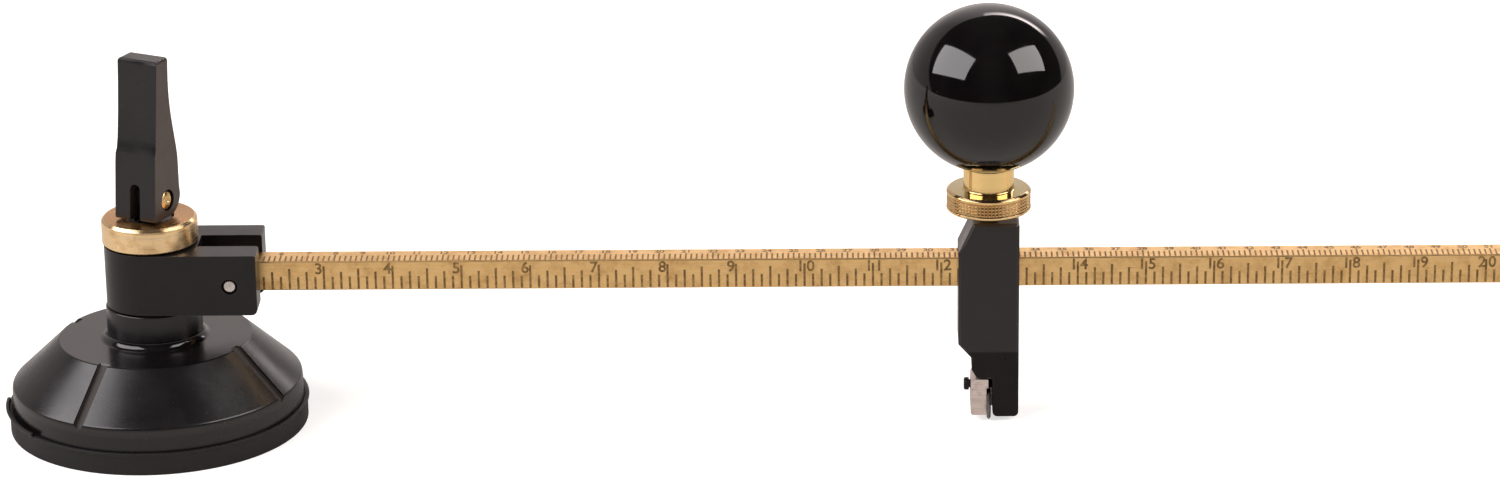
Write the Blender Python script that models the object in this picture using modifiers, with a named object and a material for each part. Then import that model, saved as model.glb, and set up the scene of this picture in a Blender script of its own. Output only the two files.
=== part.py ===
"""A circle cutter for glass.

A rubber cup holds the tool on the glass. A lever on top pulls the cup's centre up through a rod.
An arm swivels round the same axis, and a hinged square bar reaches out from it. The cutting head
slides along the bar, is clamped by a knurled screw, and is walked round by a ball that spins.

Metres, +Z up. The origin is on the cup's axis at its underside, and +X runs out along the bar.
"""

import math

import bmesh
import bpy
from mathutils import Matrix, Vector

mm = 0.001

# Clearances shared by every piece, and how finely round pieces are divided
gap = 0.3 * mm
slide_gap = 0.2 * mm
overrun = 1.0 * mm
merge_distance = 0.005 * mm
large_steps = 64
medium_steps = 48
small_steps = 20
arc_steps = 5

# Rubber cup
cup_overhang = 0.55 * mm
cup_band_height = 3.75 * mm
cup_disc_thickness = 2.6 * mm
cup_edge = 0.2 * mm
cup_shelf_width = 3.6 * mm
lip_overhang = 0.3 * mm
lip_thickness = 0.35 * mm
tab_reach = 0.6 * mm
tab_thickness = 0.8 * mm
tab_rise = 0.7 * mm
tab_centre_angle = math.radians(201.5)
tab_half_angle = math.radians(20.5)

# Base housing: a moulded cap with a rim, a cone, a flat top and a boss
rim_radius = 26.95 * mm
rim_top = 8.3 * mm
rim_edge = 0.6 * mm
cone_top_radius = 17.8 * mm
flat_height = 17.1 * mm
boss_radius = 8.8 * mm
boss_height = 6.55 * mm
boss_edge = 0.3 * mm
boss_fillet = 1.5 * mm
housing_wall = 2.4 * mm
housing_yaw = math.radians(-25.4)
groove_count = 4
groove_width = 1.5 * mm
groove_depth = 1.0 * mm
groove_end_rise = 0.05 * mm

# Hollow sleeve that carries the arm, and the nut that holds it under the housing
sleeve_radius = 4.5 * mm
sleeve_sunk = 0.6 * mm
sleeve_edge = 0.3 * mm
nut_across_corners = 15.0 * mm
nut_thickness = 2.2 * mm

# Arm block: a hub with two cheeks
hub_wall = 1.27 * mm
hub_height = 11.6 * mm
slot_wall = 1.7 * mm
tail_room = 1.7 * mm
bush_wall = 1.2 * mm
washer_width = 2.2 * mm
washer_thickness = 0.7 * mm
cheek_top_round = 0.4 * mm
cheek_bottom_round = 1.1 * mm
cheek_edge = 0.25 * mm
hinge_inset = 4.95 * mm
hinge_above_hub_foot = 5.55 * mm
hinge_pin_radius = 1.2 * mm
hinge_pin_short = 0.25 * mm
hinge_mouth = 0.25 * mm

# Brass collar over the hub
collar_radius = 8.8 * mm
collar_height = 4.8 * mm
collar_top_edge = 0.5 * mm
collar_bottom_edge = 0.2 * mm

# Pull rod and its foot plate
rod_radius = 2.5 * mm
rod_edge = 0.4 * mm
tang_thickness = 1.6 * mm
foot_radius = 9.0 * mm
foot_thickness = 1.4 * mm
foot_hub_radius = 4.4 * mm
foot_hub_height = 3.1 * mm
cup_skin = 1.2 * mm

# Cam lever: distances from its pin. The cam rises evenly, so lift follows the turn exactly
lever_width = 8.6 * mm
lever_waist_depth = 0.2 * mm
lever_length = 26.2 * mm
lever_lean = math.radians(7.2)
lever_front = 4.6 * mm
cam_wall = 1.2 * mm
cam_lift = 1.0 * mm
cam_steps = 10
lever_front_round = 0.5 * mm
lever_edge = 0.3 * mm
thumb_recess = 0.45 * mm
lever_slot_reach = 1.15 * mm
lever_pin_radius = 1.1 * mm
lever_pin_head = 1.7 * mm
lever_pin_head_height = 0.75 * mm
lever_pin_dome = 0.45 * mm
# Dome of the pin's head: how far out, and how far down, each as a share
lever_pin_dome_shares = ((0.0, 0.0), (0.55, 0.2), (0.85, 0.6), (1.0, 1.0))
# Back face: how far up the lever, and how far back as a share of the cam's full throw
lever_back_shares = ((0.1, 0.9), (0.27, 0.76), (0.38, 0.63), (0.5, 0.41), (0.61, 0.21),
                     (0.725, 0.045), (0.845, -0.065), (1.0, -0.15))
# Front face: how far up the lever, and how deep as a share of the thumb recess
lever_recess_shares = ((0.325, 0.0), (0.355, 0.75), (0.43, 1.0), (0.61, 1.0), (0.815, 0.75),
                       (0.96, 0.35))
# Sides: how far up the lever, and how wide between waist and full width
lever_side_shares = ((0.28, 1.0), (0.37, 0.45), (0.48, 0.1), (0.64, 0.0), (0.85, 0.15), (1.0, 0.35))

# Square bar
bar_side = 5.67 * mm
bar_tail = 4.5 * mm
bar_length = 296.1 * mm
bar_edge = 0.2 * mm

# Cutting head block, seen from the front about the clamp screw's axis
head_x = 155.1 * mm
head_width = 11.3 * mm
head_wall = 1.42 * mm
head_above_bar = 7.05 * mm
head_foot = 0.9 * mm
head_edge = 0.45 * mm
head_corner = 0.6 * mm
shoulder_width = 2.7 * mm
shoulder_height = 5.75 * mm
head_waist_height = 15.55 * mm
head_cut_width = 2.5 * mm
head_cut_height = 2.8 * mm
head_step_height = 10.45 * mm
head_step_width = 1.0 * mm
leg_width = 4.85 * mm
leg_round = 0.9 * mm
relief_start = 14.15 * mm
relief_end = 6.85 * mm
relief_depth = 0.75 * mm

# Wheel, its holder and their small fasteners
wheel_radius = 3.05 * mm
wheel_thickness = 0.7 * mm
wheel_bevel = 0.35 * mm
wheel_flat = 0.08 * mm
wheel_forward = 2.2 * mm
axle_radius = 0.5 * mm
axle_grip = 1.6 * mm
axle_stub = 0.1 * mm
holder_thickness = 2.7 * mm
holder_foot = 1.2 * mm
holder_height = 7.1 * mm
holder_front = 3.7 * mm
holder_back = 3.4 * mm
holder_round = 1.1 * mm
holder_edge = 0.2 * mm
shelf_gap = 0.4 * mm
screw_wheel_gap = 0.34 * mm
screw_angle = math.radians(40.2)
screw_shank = 0.8 * mm
screw_head_radius = 1.2 * mm
screw_head_length = 0.95 * mm
screw_depth = 2.6 * mm
socket_radius = 0.6 * mm
socket_depth = 0.5 * mm

# Clamp screw with its knurled flange, and the pad under it
clamp_radius = 2.0 * mm
clamp_tip_edge = 0.4 * mm
pad_thickness = 1.2 * mm
flange_radius = 7.85 * mm
flange_clearance = 1.75 * mm
flange_thickness = 4.05 * mm
flange_edge = 0.5 * mm
knurl_depth = 0.18 * mm
knurl_inset = 0.06 * mm
knurl_bottom_band = 0.7 * mm
knurl_top_band = 0.35 * mm
knurl_teeth = 48
neck_radius = 4.7 * mm
neck_height = 4.0 * mm
neck_edge = 0.25 * mm

# Ball, the stud it spins on and the bush between them
ball_radius = 15.69 * mm
ball_flat_land = 0.32 * mm
ball_rings = 18
stud_radius = 2.2 * mm
stud_seat_depth = 5.7 * mm
stud_head_radius = 3.4 * mm
stud_head_height = 2.0 * mm
knob_bush_wall = 1.5 * mm
knob_bush_length = 11.0 * mm
bore_end_gap = 1.0 * mm

# Sizes that follow from those above
cup_radius = rim_radius + cup_overhang
lip_radius = cup_radius + lip_overhang
lip_top = cup_band_height + lip_thickness
housing_foot = cup_band_height + gap
boss_top = flat_height + boss_height
ceiling_height = flat_height - housing_wall
sleeve_bore = rod_radius + gap
sleeve_hole = sleeve_radius + gap
nut_top = ceiling_height - gap
nut_foot = nut_top - nut_thickness
hub_foot = boss_top + gap
hub_top = hub_foot + hub_height
bush_radius = sleeve_hole + bush_wall
bush_hole = bush_radius + gap
washer_outer = sleeve_hole + washer_width
washer_recess = washer_thickness + gap
hub_radius = washer_outer + gap + hub_wall
slot_start = washer_outer + gap + slot_wall
bar_start = slot_start + tail_room
hinge_x = bar_start + bar_tail
arm_reach = hinge_x + hinge_inset
collar_foot = hub_top + gap
collar_top = collar_foot + collar_height
hinge_height = hub_foot + hinge_above_hub_foot
hinge_hole = hinge_pin_radius + gap
slot_width = bar_side + 2 * slide_gap
lever_mouth_radius = lever_pin_head + gap
cam_low = lever_mouth_radius + cam_wall
lever_pin_height = collar_top + gap + cam_low
lever_slot_width = tang_thickness + 2 * gap
lever_slot_top = rod_radius + lever_slot_reach
lever_fold = math.pi / 2 - lever_lean
cam_rate = cam_lift / lever_fold
cam_high = cam_low + cam_lift
rod_top = lever_pin_height + rod_radius
rod_flat_start = collar_top - cam_lift - gap
foot_height = cup_skin + gap
bar_end = bar_start + bar_length
bar_top = hinge_height + bar_side / 2
passage_half = bar_side / 2 + slide_gap
head_depth = 2 * (passage_half + head_wall)
head_top = bar_top + head_above_bar
head_left = -head_width / 2
head_right = head_width / 2
leg_left = head_right - leg_width
wheel_centre_x = leg_left - slide_gap - gap / 2 - wheel_thickness / 2
holder_right = wheel_centre_x - wheel_thickness / 2 - gap
holder_left = holder_right - holder_thickness
shelf_height = holder_foot + holder_height + shelf_gap
screw_from_wheel = wheel_radius + screw_wheel_gap + screw_shank
screw_back = screw_from_wheel * math.cos(screw_angle) - wheel_forward
screw_height = wheel_radius + screw_from_wheel * math.sin(screw_angle)
clamp_hole = clamp_radius + gap
pad_foot = bar_top + gap
clamp_tip = pad_foot + pad_thickness + gap
flange_bottom = head_top + flange_clearance
flange_top = flange_bottom + flange_thickness
neck_top = flange_top + neck_height
ball_flat_height = neck_top + gap
stud_foot = neck_top - stud_seat_depth
knob_bush_bore = stud_radius + gap
knob_bush_radius = knob_bush_bore + knob_bush_wall
knob_bush_foot = ball_flat_height + gap
knob_bush_top = knob_bush_foot + knob_bush_length
stud_head_foot = knob_bush_top + gap
stud_top = stud_head_foot + stud_head_height
ball_bore = knob_bush_radius + gap
ball_flat_radius = ball_bore + ball_flat_land
ball_flat_drop = math.sqrt(ball_radius ** 2 - ball_flat_radius ** 2)
ball_height = ball_flat_height + ball_flat_drop
ball_bore_top = stud_top + bore_end_gap

# Ways to turn a flat outline: it is drawn in X and Y and pushed along Z
along_z = Matrix.Identity(4)
along_y = Matrix(((1, 0, 0, 0), (0, 0, -1, 0), (0, 1, 0, 0), (0, 0, 0, 1)))
along_x = Matrix(((0, 0, 1, 0), (1, 0, 0, 0), (0, 1, 0, 0), (0, 0, 0, 1)))


# Scene, materials and small helpers

def clear_scene():
    for thing in list(bpy.data.objects):
        bpy.data.objects.remove(thing, do_unlink=True)
    for group in list(bpy.data.collections):
        bpy.data.collections.remove(group)


def new_collection(name):
    group = bpy.data.collections.new(name)
    bpy.context.scene.collection.children.link(group)
    return group


def principled(name, colour, metallic, roughness):
    made = bpy.data.materials.new(name)
    made.use_nodes = True
    shader = made.node_tree.nodes["Principled BSDF"]
    shader.inputs["Base Color"].default_value = (*colour, 1.0)
    shader.inputs["Metallic"].default_value = metallic
    shader.inputs["Roughness"].default_value = roughness
    made.diffuse_color = (*colour, 1.0)
    return made


def add_object(name, mesh, group, material=None):
    made = bpy.data.objects.new(name, mesh)
    group.objects.link(made)
    if material:
        mesh.materials.clear()
        mesh.materials.append(material)
    return made


def smooth(thing, angle=math.radians(35)):
    thing.data.shade_smooth()
    thing.data.set_sharp_from_angle(angle=angle)


def tidy_mesh(mesh):
    """Join loose caps, merge flat faces and turn every face outwards."""
    work = bmesh.new()
    work.from_mesh(mesh)
    bmesh.ops.remove_doubles(work, verts=work.verts, dist=merge_distance)
    bmesh.ops.dissolve_limit(work, angle_limit=math.radians(0.1), verts=work.verts, edges=work.edges)
    bmesh.ops.recalc_face_normals(work, faces=work.faces)
    work.to_mesh(mesh)
    work.free()


def arc(centre, radius, start, end, steps):
    """Points of a round stretch, both ends included."""
    turns = [start + (end - start) * i / steps for i in range(steps + 1)]
    return [(centre[0] + radius * math.cos(t), centre[1] + radius * math.sin(t)) for t in turns]


def rounded(corners):
    """An outline from (x, y, radius) corners, each radius turned into an arc."""
    points = []
    for i, (x, y, radius) in enumerate(corners):
        here = Vector((x, y))
        if not radius:
            points.append(here.to_tuple())
            continue
        back = (Vector(corners[i - 1][:2]) - here).normalized()
        ahead = (Vector(corners[(i + 1) % len(corners)][:2]) - here).normalized()
        half = back.angle(ahead) / 2
        centre = here + (back + ahead).normalized() * (radius / math.sin(half))
        start = here + back * (radius / math.tan(half)) - centre
        turn = start.angle_signed(here + ahead * (radius / math.tan(half)) - centre)
        for step in range(arc_steps + 1):
            spun = start.copy()
            spun.rotate(Matrix.Rotation(-turn * step / arc_steps, 2))
            points.append((centre + spun).to_tuple())
    return points


def through(points, steps):
    """A smooth line through points, both ends kept."""
    ends = [Vector(p) for p in points]
    padded = [2 * ends[0] - ends[1], *ends, 2 * ends[-1] - ends[-2]]
    line = []
    for a, b, c, d in zip(padded, padded[1:], padded[2:], padded[3:]):
        for step in range(steps):
            t = step / steps
            line.append((b + (c - a) * t / 2 + (2 * a - 5 * b + 4 * c - d) * t * t / 2
                         + (3 * b - a - 3 * c + d) * t ** 3 / 2).to_tuple())
    line.append(ends[-1].to_tuple())
    return line


def prism(name, outline, thickness, turn, group, material=None):
    """A flat outline given a thickness, half to each side, as a mesh."""
    curve = bpy.data.curves.new(name, "CURVE")
    curve.dimensions = "2D"
    curve.fill_mode = "BOTH"
    curve.extrude = thickness / 2
    spline = curve.splines.new("POLY")
    spline.points.add(len(outline) - 1)
    for point, (a, b) in zip(spline.points, outline):
        point.co = (a, b, 0, 1)
    spline.use_cyclic_u = True
    drawn = bpy.data.objects.new(name + "_outline", curve)
    group.objects.link(drawn)
    depsgraph = bpy.context.evaluated_depsgraph_get()
    mesh = bpy.data.meshes.new_from_object(drawn.evaluated_get(depsgraph))
    made = add_object(name, mesh, group, material)
    made.matrix_world = drawn.matrix_world
    bpy.data.objects.remove(drawn, do_unlink=True)
    bpy.data.curves.remove(curve)
    mesh.transform(turn)
    tidy_mesh(mesh)
    return made


def turned(name, profile, steps, group, material=None, closed=True):
    """A profile of (radius, height) points turned round Z with a Screw modifier."""
    mesh = bpy.data.meshes.new(name)
    count = len(profile)
    edges = [(i, (i + 1) % count) for i in range(count if closed else count - 1)]
    mesh.from_pydata([(r, 0, z) for r, z in profile], edges, [])
    made = add_object(name, mesh, group, material)
    screw = made.modifiers.new("turn", "SCREW")
    screw.axis = "Z"
    screw.angle = 2 * math.pi
    screw.steps = steps
    screw.render_steps = steps
    screw.use_merge_vertices = True
    screw.merge_threshold = merge_distance
    screw.use_smooth_shade = True
    return made


def apply_modifiers(thing):
    """Keep the evaluated shape as the mesh, so the object can be cut, turned or bevelled."""
    depsgraph = bpy.context.evaluated_depsgraph_get()
    mesh = bpy.data.meshes.new_from_object(thing.evaluated_get(depsgraph))
    thing.modifiers.clear()
    thing.data = mesh


def boolean(thing, other, operation):
    cut = thing.modifiers.new(other.name, "BOOLEAN")
    cut.operation = operation
    cut.solver = "EXACT"
    cut.object = other


def bevel(thing, width, segments=1, angle=math.radians(40)):
    edge = thing.modifiers.new("edges", "BEVEL")
    edge.width = width
    edge.segments = segments
    edge.limit_method = "ANGLE"
    edge.angle_limit = angle
    edge.harden_normals = False


def rod_cutter(name, radius, start, end, group, steps=small_steps):
    """A round cutter between two points."""
    start, end = Vector(start), Vector(end)
    mesh = bpy.data.meshes.new(name)
    work = bmesh.new()
    bmesh.ops.create_cone(work, cap_ends=True, segments=steps, radius1=radius, radius2=radius,
                          depth=(end - start).length)
    work.to_mesh(mesh)
    work.free()
    made = add_object(name, mesh, group)
    turn = Vector((0, 0, 1)).rotation_difference(end - start).to_matrix().to_4x4()
    mesh.transform(Matrix.Translation((start + end) / 2) @ turn)
    return made


def box(name, low, high, group, material=None):
    low, high = Vector(low), Vector(high)
    mesh = bpy.data.meshes.new(name)
    work = bmesh.new()
    bmesh.ops.create_cube(work, size=1)
    work.to_mesh(mesh)
    work.free()
    mesh.transform(Matrix.Translation((low + high) / 2) @ Matrix.Diagonal((*(high - low), 1)))
    return add_object(name, mesh, group, material)


def ring(name, inner, outer, foot, top, group, material, steps=medium_steps):
    profile = [(inner, top), (outer, top), (outer, foot), (inner, foot)]
    made = turned(name, profile, steps, group, material)
    return made


def pin_along(name, radius, start, end, edge, group, material, steps=small_steps):
    """A round pin with chamfered ends, between two points."""
    start, end = Vector(start), Vector(end)
    length = (end - start).length
    profile = [(0, length), (radius - edge, length), (radius, length - edge), (radius, edge),
               (radius - edge, 0), (0, 0)]
    made = turned(name, profile, steps, group, material, closed=False)
    apply_modifiers(made)
    turn = Vector((0, 0, 1)).rotation_difference(end - start).to_matrix().to_4x4()
    made.data.transform(Matrix.Translation(start) @ turn)
    return made


def axis_empty(name, place, group, parent=None, yaw=0.0):
    """An empty on a joint's axis. Its place is given in the whole tool's frame."""
    made = bpy.data.objects.new(name, None)
    made.empty_display_size = hub_radius
    group.objects.link(made)
    made.location = Vector(place) - (Vector(parent["place"]) if parent else Vector((0, 0, 0)))
    made.rotation_euler = (0, 0, yaw)
    made["place"] = tuple(place)
    made.parent = parent
    return made


def hang(thing, empty):
    """Parent a piece whose mesh is drawn about the empty's own point."""
    thing.parent = empty
    return thing


def lift_mesh(thing, offset):
    thing.data.transform(Matrix.Translation(offset))
    return thing


# Suction base

def make_rubber_cup(parts, cutters, rubber):
    shelf_inner = cup_radius - cup_shelf_width
    well = foot_radius + gap
    profile = [
        (0, cup_skin), (well, cup_skin), (well, cup_disc_thickness),
        (shelf_inner - cup_edge, cup_disc_thickness), (shelf_inner, cup_band_height),
        (rim_radius + gap, cup_band_height), (rim_radius + gap, lip_top), (lip_radius, lip_top),
        (lip_radius, lip_top - lip_thickness / 2), (cup_radius, cup_band_height - lip_thickness),
        (cup_radius, cup_edge), (cup_radius - cup_edge, 0), (0, 0),
    ]
    cup = turned("rubber_cup", profile, large_steps, parts, rubber, closed=False)
    tab_inner = lip_radius - tab_thickness / 2
    tab_outer = lip_radius + tab_reach
    flap = turned("tab_ring", [
        (tab_outer - tab_thickness, lip_top + tab_rise), (tab_outer, lip_top + tab_rise - cup_edge),
        (tab_outer - tab_thickness / 2, lip_top), (lip_radius, cup_band_height),
        (tab_inner, cup_band_height), (tab_inner, lip_top - merge_distance),
        (lip_radius, lip_top + tab_thickness / 4),
    ], large_steps, cutters)
    reach = tab_outer + overrun
    fan = [(0, 0), *arc((0, 0), reach, tab_centre_angle - tab_half_angle,
                        tab_centre_angle + tab_half_angle, arc_steps)]
    wedge = prism("tab_wedge", fan, 2 * lip_top + 2 * tab_rise, along_z, cutters)
    lift_mesh(wedge, (0, 0, lip_top + tab_rise))
    boolean(flap, wedge, "INTERSECT")
    boolean(cup, flap, "UNION")
    return cup


def make_housing(parts, cutters, plastic):
    fillet_centre = (boss_radius + boss_fillet, flat_height + boss_fillet)
    inner_rim = rim_radius - housing_wall
    profile = [
        (sleeve_hole, boss_top), (boss_radius - boss_edge, boss_top),
        (boss_radius, boss_top - boss_edge),
        *arc(fillet_centre, boss_fillet, math.pi, 1.5 * math.pi, arc_steps),
        (cone_top_radius, flat_height), (rim_radius - rim_edge, rim_top + rim_edge),
        (rim_radius, rim_top), (rim_radius, housing_foot), (inner_rim, housing_foot),
        (inner_rim, rim_top - rim_edge), (cone_top_radius - housing_wall / 2, ceiling_height),
        (sleeve_hole, ceiling_height),
    ]
    housing = turned("base_housing", profile, large_steps, parts, plastic)
    housing.rotation_euler = (0, 0, housing_yaw)
    slope = math.atan2(flat_height - rim_top - rim_edge, rim_radius - rim_edge - cone_top_radius)
    low_radius = rim_radius - rim_edge - groove_end_rise / math.tan(slope)
    low_height = rim_top + rim_edge + groove_end_rise
    along = Vector((math.cos(slope), 0, -math.sin(slope)))
    out = Vector((math.sin(slope), 0, math.cos(slope)))
    top_point = Vector((cone_top_radius, 0, flat_height)) - along * overrun
    end_point = Vector((low_radius, 0, low_height)) - along * groove_width / 2
    length = (end_point - top_point).length
    half = groove_width / 2
    outline = [(0, -half), *arc((length, 0), half, -math.pi / 2, math.pi / 2, arc_steps), (0, half)]
    for i in range(groove_count):
        groove = prism(f"groove_{i + 1}", outline, 2 * groove_depth, along_z, cutters)
        frame = Matrix((along, out.cross(along), out)).transposed().to_4x4()
        spin = Matrix.Rotation(2 * math.pi * i / groove_count - math.pi / 2, 4, "Z")
        groove.data.transform(spin @ Matrix.Translation(top_point) @ frame)
        groove.rotation_euler = (0, 0, housing_yaw)
        boolean(housing, groove, "DIFFERENCE")
    return housing


def make_sleeve(parts, steel):
    top = collar_top - sleeve_sunk
    foot = nut_foot - gap
    profile = [
        (sleeve_bore, top), (sleeve_radius - sleeve_edge, top), (sleeve_radius, top - sleeve_edge),
        (sleeve_radius, foot + sleeve_edge), (sleeve_radius - sleeve_edge, foot), (sleeve_bore, foot),
    ]
    sleeve = turned("pivot_sleeve", profile, medium_steps // 2, parts, steel)
    return sleeve


def make_base_nut(parts, cutters, steel):
    corner = nut_across_corners / 2
    outline = [(corner * math.cos(math.pi * i / 3), corner * math.sin(math.pi * i / 3))
               for i in range(6)]
    nut = prism("base_nut", outline, nut_thickness, along_z, parts, steel)
    lift_mesh(nut, (0, 0, nut_foot + nut_thickness / 2))
    hole = rod_cutter("nut_hole", sleeve_hole, (0, 0, nut_foot - overrun),
                      (0, 0, nut_top + overrun), cutters)
    boolean(nut, hole, "DIFFERENCE")
    return nut


def make_collar(parts, brass):
    profile = [
        (sleeve_hole, collar_top), (collar_radius - collar_top_edge, collar_top),
        (collar_radius, collar_top - collar_top_edge),
        (collar_radius, collar_foot + collar_bottom_edge),
        (collar_radius - collar_bottom_edge, collar_foot), (sleeve_hole, collar_foot),
    ]
    collar = turned("collar_nut", profile, medium_steps, parts, brass)
    return collar


# Pull rod and cam lever

def make_pull_rod(parts, cutters, steel):
    rod = turned("pull_rod", [
        (0, rod_top), (rod_radius - rod_edge, rod_top), (rod_radius, rod_top - rod_edge),
        (rod_radius, foot_height + rod_edge), (rod_radius - rod_edge, foot_height), (0, foot_height),
    ], small_steps, parts, steel, closed=False)
    rod.rotation_euler = (0, 0, housing_yaw)
    far = rod_radius + overrun
    for side in (-1, 1):
        near = side * tang_thickness / 2
        flat = box(f"rod_flat_{'left' if side < 0 else 'right'}",
                   (min(near, side * far), -far, rod_flat_start),
                   (max(near, side * far), far, rod_top + overrun), cutters)
        flat.rotation_euler = (0, 0, housing_yaw)
        boolean(rod, flat, "DIFFERENCE")
    hole = rod_cutter("rod_pin_hole", lever_pin_radius + gap, (-far, 0, lever_pin_height),
                      (far, 0, lever_pin_height), cutters)
    hole.rotation_euler = (0, 0, housing_yaw)
    boolean(rod, hole, "DIFFERENCE")
    return rod


def make_foot_plate(parts, steel):
    bore = rod_radius + gap
    top = foot_height + foot_thickness
    plate = turned("foot_plate", [
        (bore, top + foot_hub_height), (foot_hub_radius, top + foot_hub_height),
        (foot_hub_radius, top), (foot_radius, top), (foot_radius, foot_height), (bore, foot_height),
    ], medium_steps // 2, parts, steel)
    return plate


def lean_back(points):
    """Points of the lever's side outline, turned about its pin by its lean."""
    return [(x * math.cos(lever_lean) + y * math.sin(lever_lean),
             y * math.cos(lever_lean) - x * math.sin(lever_lean)) for x, y in points]


def lever_side_outline():
    """The lever seen from its side: x is towards its back, y is up, about its pin."""
    back = lean_back([(cam_high * share, lever_length * height)
                      for height, share in lever_back_shares])
    cam = []
    for step in range(cam_steps + 1):
        turn = lever_fold * step / cam_steps
        reach = cam_low + cam_rate * turn
        cam.append((reach * math.sin(turn) + cam_rate * math.cos(turn),
                    cam_rate * math.sin(turn) - reach * math.cos(turn)))
    back_line = through([cam[-1], *back], 3)[1:]
    front = lean_back([(-lever_front + thumb_recess * share, lever_length * height)
                       for height, share in lever_recess_shares])
    top_front = front[-1][0]
    top = [(back[-1][0], lever_length), (top_front + lever_edge, lever_length)]
    foot = arc((-lever_front + lever_front_round, -cam_low + lever_front_round), lever_front_round,
               math.pi, 1.5 * math.pi, arc_steps)
    return [*cam, *back_line[:-1], *top, *reversed(front), *foot]


def lever_front_outline():
    """The lever seen from its front: narrower where the thumb rests."""
    half = lever_width / 2
    waist = half - lever_waist_depth
    side = [(waist + (half - waist) * share, lever_length * height)
            for height, share in lever_side_shares]
    right = [(half, -cam_low), *through(side, 3)[:-1],
             *rounded([(side[-1][0], side[-2][1], 0), (side[-1][0], lever_length, 2 * lever_edge),
                       (0, lever_length, 0)])[1:-1]]
    return right + [(-x, z) for x, z in reversed(right)]


def make_lever(parts, cutters, plastic, empty):
    lever = prism("lock_lever", lever_side_outline(), lever_width + 2 * overrun, along_x, parts,
                  plastic)
    front = prism("lever_front_shape", lever_front_outline(), 4 * lever_front, along_y, cutters)
    half = lever_slot_width / 2
    slot_outline = [(-half, -cam_low - overrun), (half, -cam_low - overrun),
                    *arc((0, lever_slot_top - half), half, 0, math.pi, 2 * arc_steps)]
    slot = prism("lever_slot", slot_outline, 4 * lever_front, along_y, cutters)
    far = lever_width / 2 + overrun
    hole = rod_cutter("lever_pin_hole", lever_pin_radius + gap, (-far, 0, 0), (far, 0, 0), cutters)
    cuts = [(slot, "DIFFERENCE"), (hole, "DIFFERENCE")]
    mouth_floor = lever_width / 2 - lever_pin_head_height - gap
    for side in (-1, 1):
        mouth = rod_cutter(f"lever_mouth_{'left' if side < 0 else 'right'}", lever_mouth_radius,
                           (side * mouth_floor, 0, 0), (side * far, 0, 0), cutters)
        cuts.append((mouth, "DIFFERENCE"))
    boolean(lever, front, "INTERSECT")
    apply_modifiers(lever)
    hang(front, empty)
    tidy_mesh(lever.data)
    bevel(lever, lever_edge)
    for other, operation in cuts:
        boolean(lever, other, operation)
        hang(other, empty)
    return hang(lever, empty)


def make_lever_pin(parts, brass, empty):
    """A rivet with a low dome at each end, along X."""
    half = lever_width / 2
    inner = half - lever_pin_head_height
    dome = [(lever_pin_head * out, half - lever_pin_dome * down)
            for out, down in lever_pin_dome_shares]
    upper = [*dome, (lever_pin_head, inner), (lever_pin_radius, inner)]
    profile = upper + [(r, -z) for r, z in reversed(upper)]
    pin = turned("lever_pin", profile, small_steps, parts, brass, closed=False)
    apply_modifiers(pin)
    pin.data.transform(Matrix.Rotation(math.pi / 2, 4, "Y"))
    return hang(pin, empty)


# Swivelling arm

def make_arm_block(parts, cutters, black, empty):
    plan = [*arc((0, 0), hub_radius, math.pi / 2, 1.5 * math.pi, large_steps // 2),
            *rounded([(0, -hub_radius, 0), (arm_reach, -hub_radius, cheek_edge),
                      (arm_reach, hub_radius, cheek_edge), (0, hub_radius, 0)])[1:-1]]
    block = prism("arm_block", plan, hub_height, along_z, parts, black)
    lift_mesh(block, (0, 0, hub_foot + hub_height / 2))
    side = rounded([(-hub_radius - overrun, hub_foot, 0), (arm_reach, hub_foot, cheek_bottom_round),
                    (arm_reach, hub_top, cheek_top_round), (-hub_radius - overrun, hub_top, 0)])
    side_shape = prism("arm_side_shape", side, 2 * hub_radius + 2 * overrun, along_y, cutters)
    half = slot_width / 2
    slot = box("arm_slot", (slot_start, -half, hub_foot - overrun),
               (arm_reach + overrun, half, hub_top + overrun), cutters)
    bore = rod_cutter("hub_bore", bush_hole, (0, 0, hub_foot - overrun), (0, 0, hub_top + overrun),
                      cutters, medium_steps)
    recess_radius = washer_outer + gap
    low = rod_cutter("hub_recess_low", recess_radius, (0, 0, hub_foot - overrun),
                     (0, 0, hub_foot + washer_recess), cutters, medium_steps)
    high = rod_cutter("hub_recess_high", recess_radius, (0, 0, hub_top - washer_recess),
                      (0, 0, hub_top + overrun), cutters, medium_steps)
    far = hub_radius + overrun
    hole = rod_cutter("hinge_hole", hinge_hole, (hinge_x, -far, hinge_height),
                      (hinge_x, far, hinge_height), cutters)
    boolean(block, side_shape, "INTERSECT")
    for other in (slot, bore, low, high, hole):
        boolean(block, other, "DIFFERENCE")
    for other in (side_shape, slot, bore, low, high, hole):
        hang(other, empty)
    return hang(block, empty)


def make_hinge_pin(parts, steel, empty):
    end = hub_radius - hinge_pin_short
    pin = pin_along("hinge_pin", hinge_pin_radius, (hinge_x, -end, hinge_height),
                    (hinge_x, end, hinge_height), hinge_mouth, parts, steel)
    return hang(pin, empty)


# Bar, drawn about the hinge

def make_bar(parts, cutters, brass, empty):
    half = bar_side / 2
    bar = box("scale_bar", (bar_start - hinge_x, -half, -half), (bar_end - hinge_x, half, half),
              parts, brass)
    bevel(bar, bar_edge)
    hole = rod_cutter("bar_hole", hinge_hole, (0, -bar_side, 0), (0, bar_side, 0), cutters)
    boolean(bar, hole, "DIFFERENCE")
    hang(hole, empty)
    return hang(bar, empty)


# Cutting head, drawn about the clamp screw's axis, with heights above the glass

def head_outline():
    step_x = head_left + head_cut_width
    return rounded([
        (head_left + shoulder_width, head_top, head_corner), (head_right, head_top, head_corner),
        (head_right, head_foot, leg_round), (leg_left, head_foot, leg_round),
        (leg_left, shelf_height, 0), (step_x + head_step_width, shelf_height, head_corner),
        (step_x, head_step_height, head_corner),
        (step_x, head_waist_height - head_cut_height, 0),
        (head_left, head_waist_height, 0), (head_left, head_top - shoulder_height, head_corner),
    ][::-1])


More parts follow.
